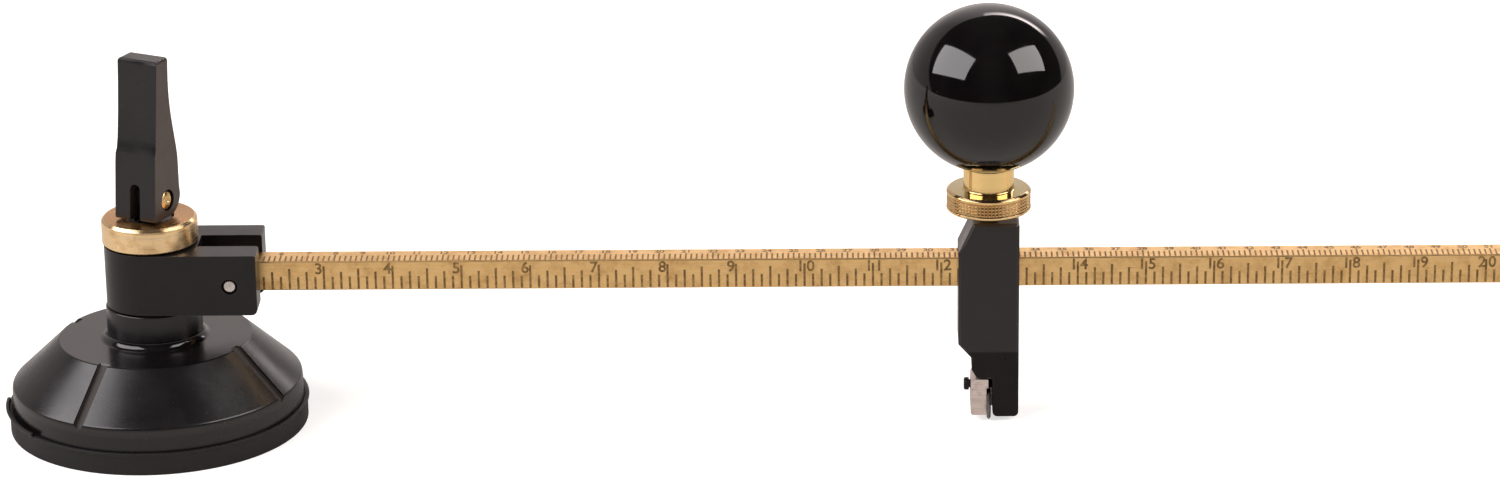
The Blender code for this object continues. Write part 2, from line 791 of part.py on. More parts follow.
def make_head_block(parts, cutters, black, empty):
    block = prism("head_block", head_outline(), head_depth, along_y, parts, black)
    bevel(block, head_edge, angle=math.radians(60))
    half = passage_half
    far = head_width
    passage = box("bar_passage", (-far, -half, hinge_height - half), (far, half, hinge_height + half),
                  cutters)
    hole = rod_cutter("clamp_hole", clamp_hole, (0, 0, hinge_height), (0, 0, head_top + overrun),
                      cutters, small_steps)
    front = -head_depth / 2
    deep = front + relief_depth
    out = front - overrun
    relief_outline = [(out, head_foot - overrun), (deep, head_foot - overrun), (deep, relief_end),
                      (front, relief_start), (out, relief_start)]
    relief = prism("front_relief", relief_outline, 2 * far, along_x, cutters)
    thread = rod_cutter("holder_screw_hole", screw_shank + gap,
                        (leg_left - overrun, screw_back, screw_height),
                        (leg_left + screw_depth + gap, screw_back, screw_height), cutters)
    for other in (passage, hole, relief, thread):
        boolean(block, other, "DIFFERENCE")
        hang(other, empty)
    return hang(block, empty)


def make_wheel_holder(parts, cutters, steel, empty):
    top = holder_foot + holder_height
    outline = rounded([
        (holder_left, holder_foot, holder_round / 2), (holder_right, holder_foot, 0),
        (holder_right, top, 0), (holder_left, top, holder_round)])
    holder = prism("wheel_holder", outline, holder_front + holder_back, along_y, parts, steel)
    lift_mesh(holder, (0, (holder_back - holder_front) / 2, 0))
    bevel(holder, holder_edge, angle=math.radians(60))
    axle_hole = rod_cutter("axle_hole", axle_radius + gap,
                           (holder_right - axle_grip - gap, -wheel_forward, wheel_radius),
                           (holder_right + overrun, -wheel_forward, wheel_radius), cutters)
    screw_hole = rod_cutter("holder_hole", screw_shank + gap,
                            (holder_left - overrun, screw_back, screw_height),
                            (holder_right + overrun, screw_back, screw_height), cutters)
    for other in (axle_hole, screw_hole):
        boolean(holder, other, "DIFFERENCE")
        hang(other, empty)
    return hang(holder, empty)


def make_holder_screw(parts, cutters, black, empty):
    """A socket-head screw along X. Its own axis is Z while it is turned."""
    head_back = holder_left - gap
    head_front = head_back - screw_head_length
    tip = leg_left + screw_depth
    length = tip - head_front
    edge = screw_shank / 4
    screw = turned("holder_screw", [
        (0, length), (screw_shank - edge, length), (screw_shank, length - edge),
        (screw_shank, screw_head_length), (screw_head_radius, screw_head_length),
        (screw_head_radius, edge), (screw_head_radius - edge, 0), (0, 0),
    ], small_steps, parts, black, closed=False)
    apply_modifiers(screw)
    place = (Matrix.Translation((head_front, screw_back, screw_height))
             @ Matrix.Rotation(math.pi / 2, 4, "Y"))
    screw.data.transform(place)
    key = rod_cutter("screw_socket", socket_radius, (head_front - overrun, screw_back, screw_height),
                     (head_front + socket_depth, screw_back, screw_height), cutters, 6)
    boolean(screw, key, "DIFFERENCE")
    hang(key, empty)
    return hang(screw, empty)


def make_wheel_axle(parts, steel, empty):
    start = (holder_right - axle_grip, -wheel_forward, wheel_radius)
    end = (wheel_centre_x + wheel_thickness / 2 + axle_stub, -wheel_forward, wheel_radius)
    axle = pin_along("wheel_axle", axle_radius, start, end, axle_stub, parts, steel, small_steps // 2)
    return hang(axle, empty)


def make_wheel(parts, steel, empty):
    """A hardened wheel with a V edge, turned about its own axle."""
    half = wheel_thickness / 2
    bore = axle_radius + gap
    shoulder = wheel_radius - wheel_bevel
    wheel = turned("cutting_wheel", [
        (bore, half), (shoulder, half), (wheel_radius, wheel_flat / 2), (wheel_radius, -wheel_flat / 2),
        (shoulder, -half), (bore, -half),
    ], medium_steps, parts, steel)
    apply_modifiers(wheel)
    wheel.data.transform(Matrix.Rotation(math.pi / 2, 4, "Y"))
    return hang(wheel, empty)


# Clamp screw, pad and ball, drawn about the clamp axis

def make_pad(parts, brass, empty):
    pad = turned("clamp_pad", [
        (0, pad_foot + pad_thickness), (clamp_radius, pad_foot + pad_thickness),
        (clamp_radius, pad_foot), (0, pad_foot),
    ], small_steps, parts, brass, closed=False)
    return hang(pad, empty)


def knurled_outline():
    points = []
    for tooth in range(knurl_teeth):
        for half, depth in enumerate((knurl_inset, knurl_inset + knurl_depth)):
            radius = flange_radius - depth
            turn = 2 * math.pi * (tooth + half / 2) / knurl_teeth
            points.append((radius * math.cos(turn), radius * math.sin(turn)))
    return points


def make_clamp_screw(parts, cutters, brass, empty):
    """Screw, flange and neck in one piece. The knurled band is a toothed ring joined to it."""
    seat = stud_radius + gap
    inner = flange_radius - knurl_inset - 2 * knurl_depth
    band_foot = flange_bottom + knurl_bottom_band
    band_top = flange_top - flange_edge - knurl_top_band
    screw = turned("clamp_screw", [
        (0, stud_foot - gap), (seat, stud_foot - gap), (seat, neck_top),
        (neck_radius - neck_edge, neck_top), (neck_radius, neck_top - neck_edge),
        (neck_radius, flange_top), (flange_radius - flange_edge, flange_top),
        (flange_radius, flange_top - flange_edge), (flange_radius, band_top), (inner, band_top),
        (inner, band_foot), (flange_radius, band_foot), (flange_radius, flange_bottom + neck_edge),
        (flange_radius - neck_edge, flange_bottom), (clamp_radius, flange_bottom),
        (clamp_radius, clamp_tip + clamp_tip_edge), (clamp_radius - clamp_tip_edge, clamp_tip),
        (0, clamp_tip),
    ], medium_steps, parts, brass, closed=False)
    band = prism("knurled_band", knurled_outline(), band_top - band_foot + 2 * merge_distance,
                 along_z, cutters)
    lift_mesh(band, (0, 0, (band_top + band_foot) / 2))
    core = rod_cutter("knurl_core", inner - merge_distance, (0, 0, band_foot - overrun),
                      (0, 0, band_top + overrun), cutters, medium_steps)
    boolean(band, core, "DIFFERENCE")
    boolean(screw, band, "UNION")
    hang(band, empty)
    hang(core, empty)
    return hang(screw, empty)


def make_stud(parts, steel, empty):
    stud = turned("knob_stud", [
        (0, stud_top), (stud_head_radius, stud_top), (stud_head_radius, stud_head_foot),
        (stud_radius, stud_head_foot), (stud_radius, stud_foot), (0, stud_foot),
    ], small_steps, parts, steel, closed=False)
    return hang(stud, empty)


def make_ball(parts, black, empty):
    low = -math.asin(ball_flat_drop / ball_radius)
    curve = [(ball_radius * math.cos(t), ball_height + ball_radius * math.sin(t))
             for t in (math.pi / 2 + (low - math.pi / 2) * i / ball_rings
                       for i in range(1, ball_rings + 1))]
    profile = [(0, ball_height + ball_radius), *curve, (ball_bore, ball_flat_height),
               (ball_bore, ball_bore_top), (0, ball_bore_top)]
    ball = turned("ball_knob", profile, medium_steps, parts, black, closed=False)
    return hang(ball, empty)


def build():
    clear_scene()
    parts = new_collection("circle_cutter")
    cutters = new_collection("cutters")

    rubber = principled("moulded_rubber", (0.035, 0.033, 0.032), 0.0, 0.75)
    plastic = principled("moulded_abs", (0.025, 0.023, 0.024), 0.0, 0.4)
    black = principled("black_painted_zinc", (0.03, 0.028, 0.029), 0.1, 0.45)
    gloss = principled("phenolic_ball", (0.008, 0.008, 0.008), 0.0, 0.08)
    bar_brass = principled("drawn_brass", (0.62, 0.42, 0.16), 1.0, 0.38)
    turned_brass = principled("turned_brass", (0.8, 0.55, 0.26), 1.0, 0.25)
    steel = principled("bright_steel", (0.62, 0.6, 0.6), 1.0, 0.3)
    dark_steel = principled("blackened_steel", (0.03, 0.03, 0.03), 0.6, 0.4)
    nylon = principled("nylon", (0.5, 0.5, 0.48), 0.0, 0.5)

    make_rubber_cup(parts, cutters, rubber)
    make_housing(parts, cutters, plastic)
    make_sleeve(parts, steel)
    make_base_nut(parts, cutters, steel)
    ring("lower_washer", sleeve_hole, washer_outer, hub_foot, hub_foot + washer_thickness, parts,
         nylon, small_steps)
    ring("upper_washer", sleeve_hole, washer_outer, hub_top - washer_thickness, hub_top, parts,
         steel, small_steps)
    make_collar(parts, turned_brass)

    make_pull_rod(parts, cutters, dark_steel)
    make_foot_plate(parts, steel)
    lever_axis = axis_empty("lever_axis", (0, 0, lever_pin_height), parts, yaw=housing_yaw)
    make_lever(parts, cutters, plastic, lever_axis)
    make_lever_pin(parts, turned_brass, lever_axis)

    arm_axis = axis_empty("arm_axis", (0, 0, 0), parts)
    make_arm_block(parts, cutters, black, arm_axis)
    bush = ring("arm_bush", sleeve_hole, bush_radius, hub_foot + washer_recess,
                hub_top - washer_recess, parts, turned_brass, small_steps)
    hang(bush, arm_axis)
    make_hinge_pin(parts, steel, arm_axis)

    beam_axis = axis_empty("beam_axis", (hinge_x, 0, hinge_height), parts, arm_axis)
    make_bar(parts, cutters, bar_brass, beam_axis)

    head_axis = axis_empty("head_axis", (head_x, 0, 0), parts, beam_axis)
    make_head_block(parts, cutters, black, head_axis)
    make_wheel_holder(parts, cutters, steel, head_axis)
    make_holder_screw(parts, cutters, dark_steel, head_axis)
    make_wheel_axle(parts, steel, head_axis)
    wheel_axis = axis_empty("wheel_axis", (head_x + wheel_centre_x, -wheel_forward, wheel_radius),
                            parts, head_axis)
    make_wheel(parts, steel, wheel_axis)
    make_pad(parts, turned_brass, head_axis)
    make_clamp_screw(parts, cutters, turned_brass, head_axis)
    make_stud(parts, steel, head_axis)
    make_ball(parts, gloss, head_axis)
    knob_bush = ring("knob_bush", knob_bush_bore, knob_bush_radius, knob_bush_foot, knob_bush_top,
                     parts, turned_brass, small_steps)
    hang(knob_bush, head_axis)

    for part in parts.objects:
        if part.type == "MESH":
            apply_modifiers(part)
            smooth(part)
    for cutter in cutters.objects:
        cutter.hide_render = True
        cutter.display_type = "WIRE"


build()
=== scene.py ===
"""Circle cutter for glass: suction base, cam lever, swivelling arm, engraved bar and cutting head.

The packed model is the frame. Every piece here takes its place from it, and rides on its bodies.
"""
import functools
import math

import bmesh
import bpy
from bpy.props import FloatProperty, FloatVectorProperty, IntProperty, PointerProperty
from mathutils import Matrix, Vector


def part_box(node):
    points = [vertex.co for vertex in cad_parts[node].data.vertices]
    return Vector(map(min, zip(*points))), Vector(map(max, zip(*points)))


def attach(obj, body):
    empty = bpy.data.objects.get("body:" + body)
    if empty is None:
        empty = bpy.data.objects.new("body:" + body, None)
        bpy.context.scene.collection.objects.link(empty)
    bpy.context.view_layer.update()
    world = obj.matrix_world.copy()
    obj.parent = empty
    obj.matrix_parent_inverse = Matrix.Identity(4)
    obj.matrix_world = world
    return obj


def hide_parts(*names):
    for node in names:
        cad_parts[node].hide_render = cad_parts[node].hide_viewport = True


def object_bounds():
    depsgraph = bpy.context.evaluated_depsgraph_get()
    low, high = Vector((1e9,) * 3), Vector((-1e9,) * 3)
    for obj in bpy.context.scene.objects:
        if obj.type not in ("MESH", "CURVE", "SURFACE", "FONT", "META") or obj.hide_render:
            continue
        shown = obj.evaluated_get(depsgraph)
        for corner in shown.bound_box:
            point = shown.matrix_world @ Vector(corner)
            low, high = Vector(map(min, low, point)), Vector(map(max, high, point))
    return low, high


bl_info = {
    "name": "Circle cutter",
    "version": (1, 0, 0),
    "blender": (4, 5, 0),
    "location": "3D View > Sidebar > Circle cutter",
    "description": "Dresses the circle cutter's frame with finished pieces and a studio",
    "category": "Object",
}

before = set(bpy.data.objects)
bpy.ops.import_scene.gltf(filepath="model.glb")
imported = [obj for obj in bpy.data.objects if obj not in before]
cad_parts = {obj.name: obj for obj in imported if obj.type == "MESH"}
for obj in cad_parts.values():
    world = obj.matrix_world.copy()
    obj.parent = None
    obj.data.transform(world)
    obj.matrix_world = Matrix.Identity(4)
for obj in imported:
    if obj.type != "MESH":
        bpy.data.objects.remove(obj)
cad_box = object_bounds()
MM = 0.001
FULL_TURN = 2 * math.pi
QUARTER_TURN = math.pi / 2
LEVER_YAW = math.radians(-25.4)
# The head's leg reaches this many millimetres above the glass
LEG_TOP = 14.1
# What turns on the hollow sleeve has this much air round it, in millimetres
SLEEVE_AIR = 0.1
# Noise stays between these shares almost everywhere
DRIFT = (0.3, 0.7)


# Places in the frame, in millimetres

def low(node, axis):
    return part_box(node)[0][axis] / MM


def high(node, axis):
    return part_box(node)[1][axis] / MM


def middle(node, axis):
    return (low(node, axis) + high(node, axis)) / 2


def half_size(node, axis):
    return (high(node, axis) - low(node, axis)) / 2


def clamp_axis():
    """A point on the clamp screw's axis, in metres."""
    return middle("knob_stud", 0) * MM, 0, 0


def flange_heights():
    """The foot and the top of the clamp screw's flange, in millimetres."""
    foot = high("head_block", 2) + 1.75
    return foot, foot + 4.05


def knurl_band():
    """The heights between which the flange is knurled, in millimetres."""
    foot, top = flange_heights()
    return foot + 0.6, top - 0.85


def cone_ends():
    """The top and the foot of the housing's cone, as (radius, height) in millimetres."""
    sizes = bpy.context.scene.cutter_base
    return (Vector((sizes.flat_radius / MM, sizes.flat_height / MM)),
            Vector((high("base_housing", 0) - 0.2, sizes.rim_top / MM + 0.4)))


# Colours, nodes and finishes

def linear(colour):
    """Linear numbers with alpha, from an sRGB hex colour or from a property that holds them."""
    if not isinstance(colour, str):
        return [*colour, 1.0]
    shares = [int(colour[i:i + 2], 16) / 255 for i in (1, 3, 5)]
    return [s / 12.92 if s <= 0.04045 else ((s + 0.055) / 1.055) ** 2.4 for s in shares] + [1.0]


def feed(node, inputs):
    """Give a node its inputs, by name or in order: values, or sockets or nodes to link from."""
    for key, value in inputs.items() if isinstance(inputs, dict) else enumerate(inputs):
        if isinstance(value, bpy.types.Node):
            value = next(socket for socket in value.outputs if socket.enabled)
        if isinstance(value, bpy.types.NodeSocket):
            node.id_data.links.new(value, node.inputs[key])
        else:
            node.inputs[key].default_value = value
    return node


def add(tree, kind, inputs=(), **settings):
    """Add a node with its settings and its inputs. A kind without Node in it is a shader node."""
    made = tree.nodes.new(kind if "Node" in kind else "ShaderNode" + kind)
    for key, value in settings.items():
        setattr(made, key, value)
    return feed(made, inputs)


def new_finish(name, plain=()):
    """A material with one Principled shader, whose plain values sit on the shader itself."""
    made = bpy.data.materials.new(name)
    made.use_nodes = True
    tree = made.node_tree
    return made, tree, feed(tree.nodes["Principled BSDF"], plain)


def surface(tree, shader, tone, dull, height, depth):
    """Lead a tone, a roughness and a relief with a depth in millimetres into the shader."""
    bump = add(tree, "Bump", {"Height": height, "Distance": depth * MM})
    feed(shader, {"Base Color": tone, "Roughness": dull, "Normal": bump})


def place(tree, scale=(1, 1, 1), centre=(0, 0, 0)):
    """Object coordinates in millimetres from a centre in metres, each axis times its scale."""
    sizes = [s / MM for s in scale]
    offset = [-c * s for c, s in zip(centre, sizes)]
    return add(tree, "Mapping", {"Vector": add(tree, "TexCoord").outputs["Object"],
                                 "Location": offset, "Scale": sizes})


def from_axis(tree, where):
    """How far a place lies from the upright axis, and its height."""
    flat = add(tree, "VectorMath", [where, (1, 1, 0)], operation="MULTIPLY")
    return (add(tree, "VectorMath", [flat], operation="LENGTH"),
            add(tree, "SeparateXYZ", [where]).outputs["Z"])


def facing_up(tree):
    """How much a face of the piece looks up, from -1 to 1."""
    return add(tree, "SeparateXYZ", [add(tree, "TexCoord").outputs["Normal"]]).outputs["Z"]


def lumps(where, size, detail=3.0, rough=0.55):
    """The inputs of noise whose lumps are about that many millimetres wide."""
    return {"Vector": where, "Scale": 1 / size, "Detail": detail, "Roughness": rough}


def coats(tree, tone, *laid):
    """Colours laid over a tone, one after the other, each as its share and its colour."""
    for share, colour in laid:
        tone = add(tree, "Mix", {0: share, 6: tone, 7: linear(colour)}, data_type="RGBA")
    return tone


def cloudy(tree, where, size, detail, tones, dullness):
    """A noise, and a tone and a roughness that drift with it between two of each."""
    cloud = add(tree, "TexNoise", lumps(where, size, detail))
    tone = coats(tree, linear(tones[0]), (add(tree, "MapRange", [cloud, *DRIFT]), tones[1]))
    return cloud, tone, add(tree, "MapRange", [cloud, *DRIFT, *dullness])


def product(tree, *ramps):
    """The product of values, each stretched between two ranges: (value, from, from, to, to)."""
    parts = [add(tree, "MapRange", ramp) for ramp in ramps]
    return functools.reduce(
        lambda one, other: add(tree, "Math", [one, other], operation="MULTIPLY"), parts)


def worn_edge(tree, radius, grain):
    """1 where an outer edge is rubbed, broken up by a grain, and 0 on flat faces."""
    soft = add(tree, "Bevel", {"Radius": radius * MM}, samples=8)
    true = add(tree, "NewGeometry").outputs["True Normal"]
    turn = add(tree, "VectorMath", [soft, true], operation="DOT_PRODUCT")
    return product(tree, (turn, 0.8, 0.99, 1.0, 0.0), (grain, 0.4, 0.7))


def groove_mask(tree, radius, height):
    """1 on the floors of the cone's grooves, which lie deeper than its face, and 0 elsewhere."""
    sizes = bpy.context.scene.cutter_base
    depth = sizes.groove_depth / MM
    top, foot = cone_ends()
    outwards = Vector((top.y - foot.y, foot.x - top.x)).normalized()
    face = outwards.dot(top)
    aside = add(tree, "Math", [radius, outwards.x], operation="MULTIPLY")
    out = add(tree, "Math", [height, outwards.y, aside], operation="MULTIPLY_ADD")
    mask = product(tree, (out, face - 0.6 * depth, face - 0.4 * depth, 1.0, 0.0),
                   (radius, foot.x - 0.1, foot.x + 0.1, 1.0, 0.0))
    # The flat top and the rim's side lie as deep, so they are left out
    lowest, highest = foot.y - 1.65, top.y - 0.25
    between = add(tree, "Math", [height, (lowest + highest) / 2, (highest - lowest) / 2],
                  operation="COMPARE")
    return add(tree, "Math", [mask, between], operation="MULTIPLY")


def moulded_rubber():
    """Nitrile rubber, moulded: matt charcoal, with a dusty bloom and paler rubbed lips."""
    made, tree, shader = new_finish("moulded_nitrile_rubber",
                                    {"IOR": 1.52, "Specular IOR Level": 0.4})
    where = place(tree)
    bloom, tone, dull = cloudy(tree, where, 6.0, 3.0, ("#0f0c0d", "#171415"), (0.48, 0.66))
    tone = coats(tree, tone, (worn_edge(tree, 0.35, bloom), "#2b2727"))
    surface(tree, shader, tone, dull, add(tree, "TexNoise", lumps(where, 0.35, 2.0)), 0.02)
    return made


def moulded_abs():
    """ABS, injection moulded and satin: near black, a soft sheen with faint finger marks."""
    made, tree, shader = new_finish("moulded_satin_abs",
                                    {"IOR": 1.54, "Specular IOR Level": 0.42})
    sizes, colours = bpy.context.scene.cutter_base, bpy.context.scene.cutter_colours
    where = place(tree)
    radius, height = from_axis(tree, where)
    tone, dull = cloudy(tree, where, 9.0, 4.0, (colours.housing, "#120f11"), (0.2, 0.32))[1:]
    specks = add(tree, "TexNoise", lumps(where, 0.5, 1.0))
    dust_and_sheen = add(tree, "MapRange", [specks, 0.74, 0.8, 0.0, 0.5])
    # The grooves are left matt, and their floors are painted a paler brown as a painted reflection
    groove = groove_mask(tree, radius, height)
    tone = coats(tree, tone, (dust_and_sheen, "#4b4544"), (groove, "#3a332f"))
    # The mould is polished at the boss foot, so that hollow mirrors sharply, and worn on the flat
    hollow = sizes.flat_height / MM + 0.8
    away = add(tree, "Math", [add(tree, "Math", [height, hollow], operation="SUBTRACT")],
               operation="ABSOLUTE")
    polish = add(tree, "MapRange", [away, 0.6, 0.9, 0.4, 1.0])
    dull = add(tree, "Math", [dull, polish], operation="MULTIPLY")
    matt = add(tree, "Math", [groove, 0.65], operation="MULTIPLY")
    dull = add(tree, "Math", [dull, matt], operation="MAXIMUM")
    surface(tree, shader, tone, dull, add(tree, "TexNoise", lumps(where, 0.3, 2.0)), 0.006)
    return made


def moulded_acetal():
    """Acetal, moulded: the lever's matt black, with sink marks and a paler rubbed rim."""
    made, tree, shader = new_finish("moulded_black_acetal", {"IOR": 1.5})
    where = place(tree)
    sink, tone, dull = cloudy(tree, where, 5.0, 2.0, ("#0f0c0e", "#171415"), (0.26, 0.4))
    # The two sides are painted paler and browner than the front: a painted reflection of the floor
    side = add(tree, "VectorMath", [add(tree, "TexCoord").outputs["Normal"],
                                    (math.cos(LEVER_YAW), math.sin(LEVER_YAW), 0)],
               operation="DOT_PRODUCT")
    side = add(tree, "Math", [side], operation="ABSOLUTE")
    rubbed_and_painted_sheen = add(tree, "MapRange", [side, 0.6, 0.9])
    tone = coats(tree, tone, (rubbed_and_painted_sheen, "#40352f"), (worn_edge(tree, 0.3, sink), "#3a3536"))
    grain = add(tree, "TexNoise", lumps(where, 0.3, 2.0))
    height = add(tree, "Math", [sink, 3.0, grain], operation="MULTIPLY_ADD")
    surface(tree, shader, tone, dull, height, 0.02)
    return made


def black_enamel(name, gloss, leg_gloss=None):
    """Stoved enamel on die-cast zinc: satin black with orange peel, rubbed to metal at corners."""
    made, tree, shader = new_finish(name, {"IOR": 1.5, "Specular IOR Level": gloss})
    where = place(tree)
    tones = bpy.context.scene.cutter_colours.enamel, "#1a1617"
    tone, dull = cloudy(tree, where, 7.0, 3.0, tones, (0.26, 0.38))[1:]
    # The slopes that face up are painted greyer than the upright faces: a painted reflection of the
    # softboxes
    slope = add(tree, "Math", [facing_up(tree), 0.6, 0.3], operation="COMPARE")
    dust_and_sheen = add(tree, "Math", [slope, 0.6], operation="MULTIPLY")
    rubbed_and_painted_sheen = worn_edge(tree, 0.25, add(tree, "TexNoise", lumps(where, 3.0)))
    tone = coats(tree, tone, (dust_and_sheen, "#4a403d"), (rubbed_and_painted_sheen, "#4a4341"))
    feed(shader, {"Metallic": add(tree, "Math", [rubbed_and_painted_sheen, 0.3], operation="MULTIPLY")})
    if leg_gloss:
        # The head's leg is thinner than its block and took less enamel, so it is duller
        height = add(tree, "SeparateXYZ", [where]).outputs["Z"]
        shine = [height, LEG_TOP - 0.2, LEG_TOP + 0.2, leg_gloss, gloss]
        feed(shader, {"Specular IOR Level": add(tree, "MapRange", shine)})
    surface(tree, shader, tone, dull, add(tree, "TexNoise", lumps(where, 0.7, 1.0)), 0.012)
    return made


def drawn_brass():
    """Brass bar, drawn through a die: golden streaks along X, brown tarnish and fine scratches."""
    made, tree, shader = new_finish("drawn_tarnished_brass", {"Metallic": 1.0})
    where = place(tree)
    fine = add(tree, "TexNoise", lumps(place(tree, (0.03, 3.0, 3.0)), 0.5, 4.0))
    scored = add(tree, "TexNoise", lumps(place(tree, (0.12, 1.6, 1.6)), 0.5, 3.0, 0.7))
    patches = add(tree, "TexNoise", lumps(where, 3.4, 5.0, 0.68))
    spots = add(tree, "TexNoise", lumps(where, 0.6, 3.0, 0.7))
    streaks = add(tree, "MapRange", [fine, *DRIFT])
    stain = product(tree, (patches, 0.46, 0.68, 0.0, 0.8), (spots, *DRIFT, 0.3, 1.0))
    scratch = add(tree, "MapRange", [scored, 0.64, 0.7, 0.0, 0.45])
    tone = coats(tree, linear(bpy.context.scene.cutter_colours.bar), (streaks, "#ecca92"),
                 (stain, "#bd9156"), (scratch, "#8f6a40"))
    dull = add(tree, "MapRange", [patches, *DRIFT, 0.28, 0.46])
    surface(tree, shader, tone, dull, add(tree, "Math", [fine, scored], operation="ADD"), 0.012)
    return made


def turned_brass(name, centre, colour, tarnish, dusty=0.0, grime=None, painted_sheen_above=None,
                 rough=(0.2, 0.36)):
    """Brass turned on a lathe: fine rings round the axis, pale gold, duller where dust lies.

    Grime fills a knurl between two heights in millimetres, and above a third height the brass is
    painted a paler gold, a painted reflection.
    """
    made, tree, shader = new_finish(name, {"Metallic": 1.0, "Anisotropic": 0.75,
                                           "Anisotropic Rotation": 0.25})
    where = place(tree, centre=centre)
    radius, height = from_axis(tree, where)
    rings = add(tree, "CombineXYZ", [radius, height])
    # Tool marks are about 0.05 mm apart and drawn at 0.12 mm, so that they show
    tool_marks = add(tree, "TexNoise", lumps(rings, 0.12))
    bands = add(tree, "TexNoise", lumps(rings, 0.9, 2.0))
    patches = add(tree, "TexNoise", lumps(where, 2.6, 4.0, 0.65))
    stain = add(tree, "Math", [add(tree, "MapRange", [patches, 0.5, 0.72, 0.0, 0.6]),
                               add(tree, "MapRange", [facing_up(tree), 0.8, 0.97, 0.0, dusty])],
                operation="MAXIMUM")
    laid = [(add(tree, "MapRange", [bands, *DRIFT]), "#f0d2a4"), (stain, tarnish)]
    if grime:
        band = add(tree, "Math", [height, sum(grime) / 2, (grime[1] - grime[0]) / 2],
                   operation="COMPARE")
        laid.append((add(tree, "Math", [band, 0.4], operation="MULTIPLY"), "#8a6534"))
    # Above that height a paler gold is painted on: a painted reflection of the softboxes on the neck
    if painted_sheen_above:
        laid.append((add(tree, "MapRange", [height, painted_sheen_above, painted_sheen_above + 0.5]), "#f8d592"))
    tone = coats(tree, linear(colour), *laid)
    # The rings spread each light along the axis, as two upright stripes on a turned neck show
    around = add(tree, "VectorMath", [(0, 0, 1), where], operation="CROSS_PRODUCT")
    feed(shader, {"Tangent": add(tree, "VectorTransform", [around], vector_type="VECTOR",
                                 convert_from="OBJECT", convert_to="WORLD")})
    dull = add(tree, "MapRange", [tool_marks, *DRIFT, *rough])
    surface(tree, shader, tone, dull, tool_marks, 0.006)
    return made


def ground_steel(name, tones, roughness, scale=(0.1, 2.0, 2.0)):
    """Steel, ground: fine straight marks along one axis, silvery with a warm grey cast."""
    made, tree, shader = new_finish(name, {"Metallic": 1.0})
    marks = add(tree, "TexNoise", lumps(place(tree, scale), 0.35, 4.0))
    cloud = add(tree, "TexNoise", lumps(place(tree), 1.2))
    tone = coats(tree, linear(tones[0]), (add(tree, "MapRange", [marks, *DRIFT]), tones[1]),
                 (add(tree, "MapRange", [cloud, 0.5, 0.75, 0.0, 0.4]), "#8f8580"))
    dull = add(tree, "MapRange", [cloud, *DRIFT, roughness - 0.08, roughness + 0.1])
    surface(tree, shader, tone, dull, marks, 0.006)
    return made


def black_oxide():
    """Alloy steel, blackened in hot oxide: dark, slightly blue, with a dull metal glint."""
    made, tree, shader = new_finish("black_oxide_steel", {"Metallic": 0.8})
    where = place(tree)
    tone, dull = cloudy(tree, where, 0.8, 3.0, ("#262427", "#3a3536"), (0.32, 0.5))[1:]
    surface(tree, shader, tone, dull, add(tree, "TexNoise", lumps(where, 0.25, 2.0)), 0.006)
    return made


def polished_phenolic():
    """Phenolic resin, moulded and polished: a deep black mirror with a faint waviness."""
    made, tree, shader = new_finish("polished_phenolic", {"IOR": 1.52})
    where = place(tree)
    tones = bpy.context.scene.cutter_colours.ball, "#0d0a0b"
    tone, dull = cloudy(tree, where, 4.0, 4.0, tones, (0.03, 0.08))[1:]
    pits = add(tree, "TexNoise", lumps(where, 0.8, 1.0))
    tone = coats(tree, tone, (add(tree, "MapRange", [pits, 0.78, 0.84, 0.0, 0.6]), "#3a3230"))
    surface(tree, shader, tone, dull, add(tree, "TexNoise", lumps(where, 7.0, 1.0)), 0.01)
    return made


def natural_nylon():
    """Nylon, turned from rod: milky cream, slightly waxy."""
    made, tree, shader = new_finish("turned_natural_nylon", {"IOR": 1.53})
    where = place(tree)
    tone, dull = cloudy(tree, where, 2.0, 3.0, ("#d8d2c2", "#e6e1d4"), (0.38, 0.52))[1:]
    surface(tree, shader, tone, dull, add(tree, "TexNoise", lumps(where, 0.2, 2.0)), 0.004)
    return made


def engraving_filler():
    """Etched marks filled with brown lacquer: dark, matt, worn thin in places."""
    made, tree, shader = new_finish("brown_filler_in_etching", {"IOR": 1.5})
    thin = add(tree, "TexNoise", lumps(place(tree), 0.9, 4.0, 0.7))
    tone = coats(tree, linear(bpy.context.scene.cutter_colours.engraving),
                 (add(tree, "MapRange", [thin, 0.44, 0.66]), "#a5824c"))
    dull = add(tree, "MapRange", [thin, *DRIFT, 0.5, 0.7])
    surface(tree, shader, tone, dull, thin, 0.01)
    return made


def collar_brass():
    """The collar's brass, with dust on its whole top."""
    return turned_brass("turned_brass_collar", (0, 0, 0),
                        bpy.context.scene.cutter_colours.turned, "#b98b55", dusty=1.0)


def screw_brass():
    """The clamp screw's brass, greenish on top, grimy in the knurl and painted paler on the neck as
    a painted reflection.
    """
    return turned_brass("turned_brass_screw", clamp_axis(), "#e8bb76", "#9c9468", dusty=0.8,
                        grime=knurl_band(), painted_sheen_above=flange_heights()[1] + 0.1, rough=(0.1, 0.2))


MAKERS = {
    "rubber": moulded_rubber,
    "abs": moulded_abs,
    "acetal": moulded_acetal,
    "head": lambda: black_enamel("stoved_black_enamel", 0.45, leg_gloss=0.1575),
    "arm": lambda: black_enamel("baked_black_enamel", 0.3),
    "bar": drawn_brass,
    "collar": collar_brass,
    "screw": screw_brass,
    "rivet": lambda: turned_brass("polished_brass_rivet", (0, 0, 0), "#e0b56a", "#b98b55"),
    "holder": lambda: ground_steel("ground_steel_plate", ("#e8dad3", "#d0c2bc"), 0.42),
    "pin": lambda: ground_steel("bright_steel_pin", ("#d6d0cc", "#c0bab6"), 0.28),
    "zinc": lambda: ground_steel("zinc_plated_steel", ("#b9bcc0", "#a3a6aa"), 0.35, (1, 1, 1)),
    "wheel": lambda: ground_steel("ground_tungsten_carbide", ("#8b878a", "#77737a"), 0.3),
    "oxide": black_oxide,
    "phenolic": polished_phenolic,
    "nylon": natural_nylon,
    "engraving": engraving_filler,
}


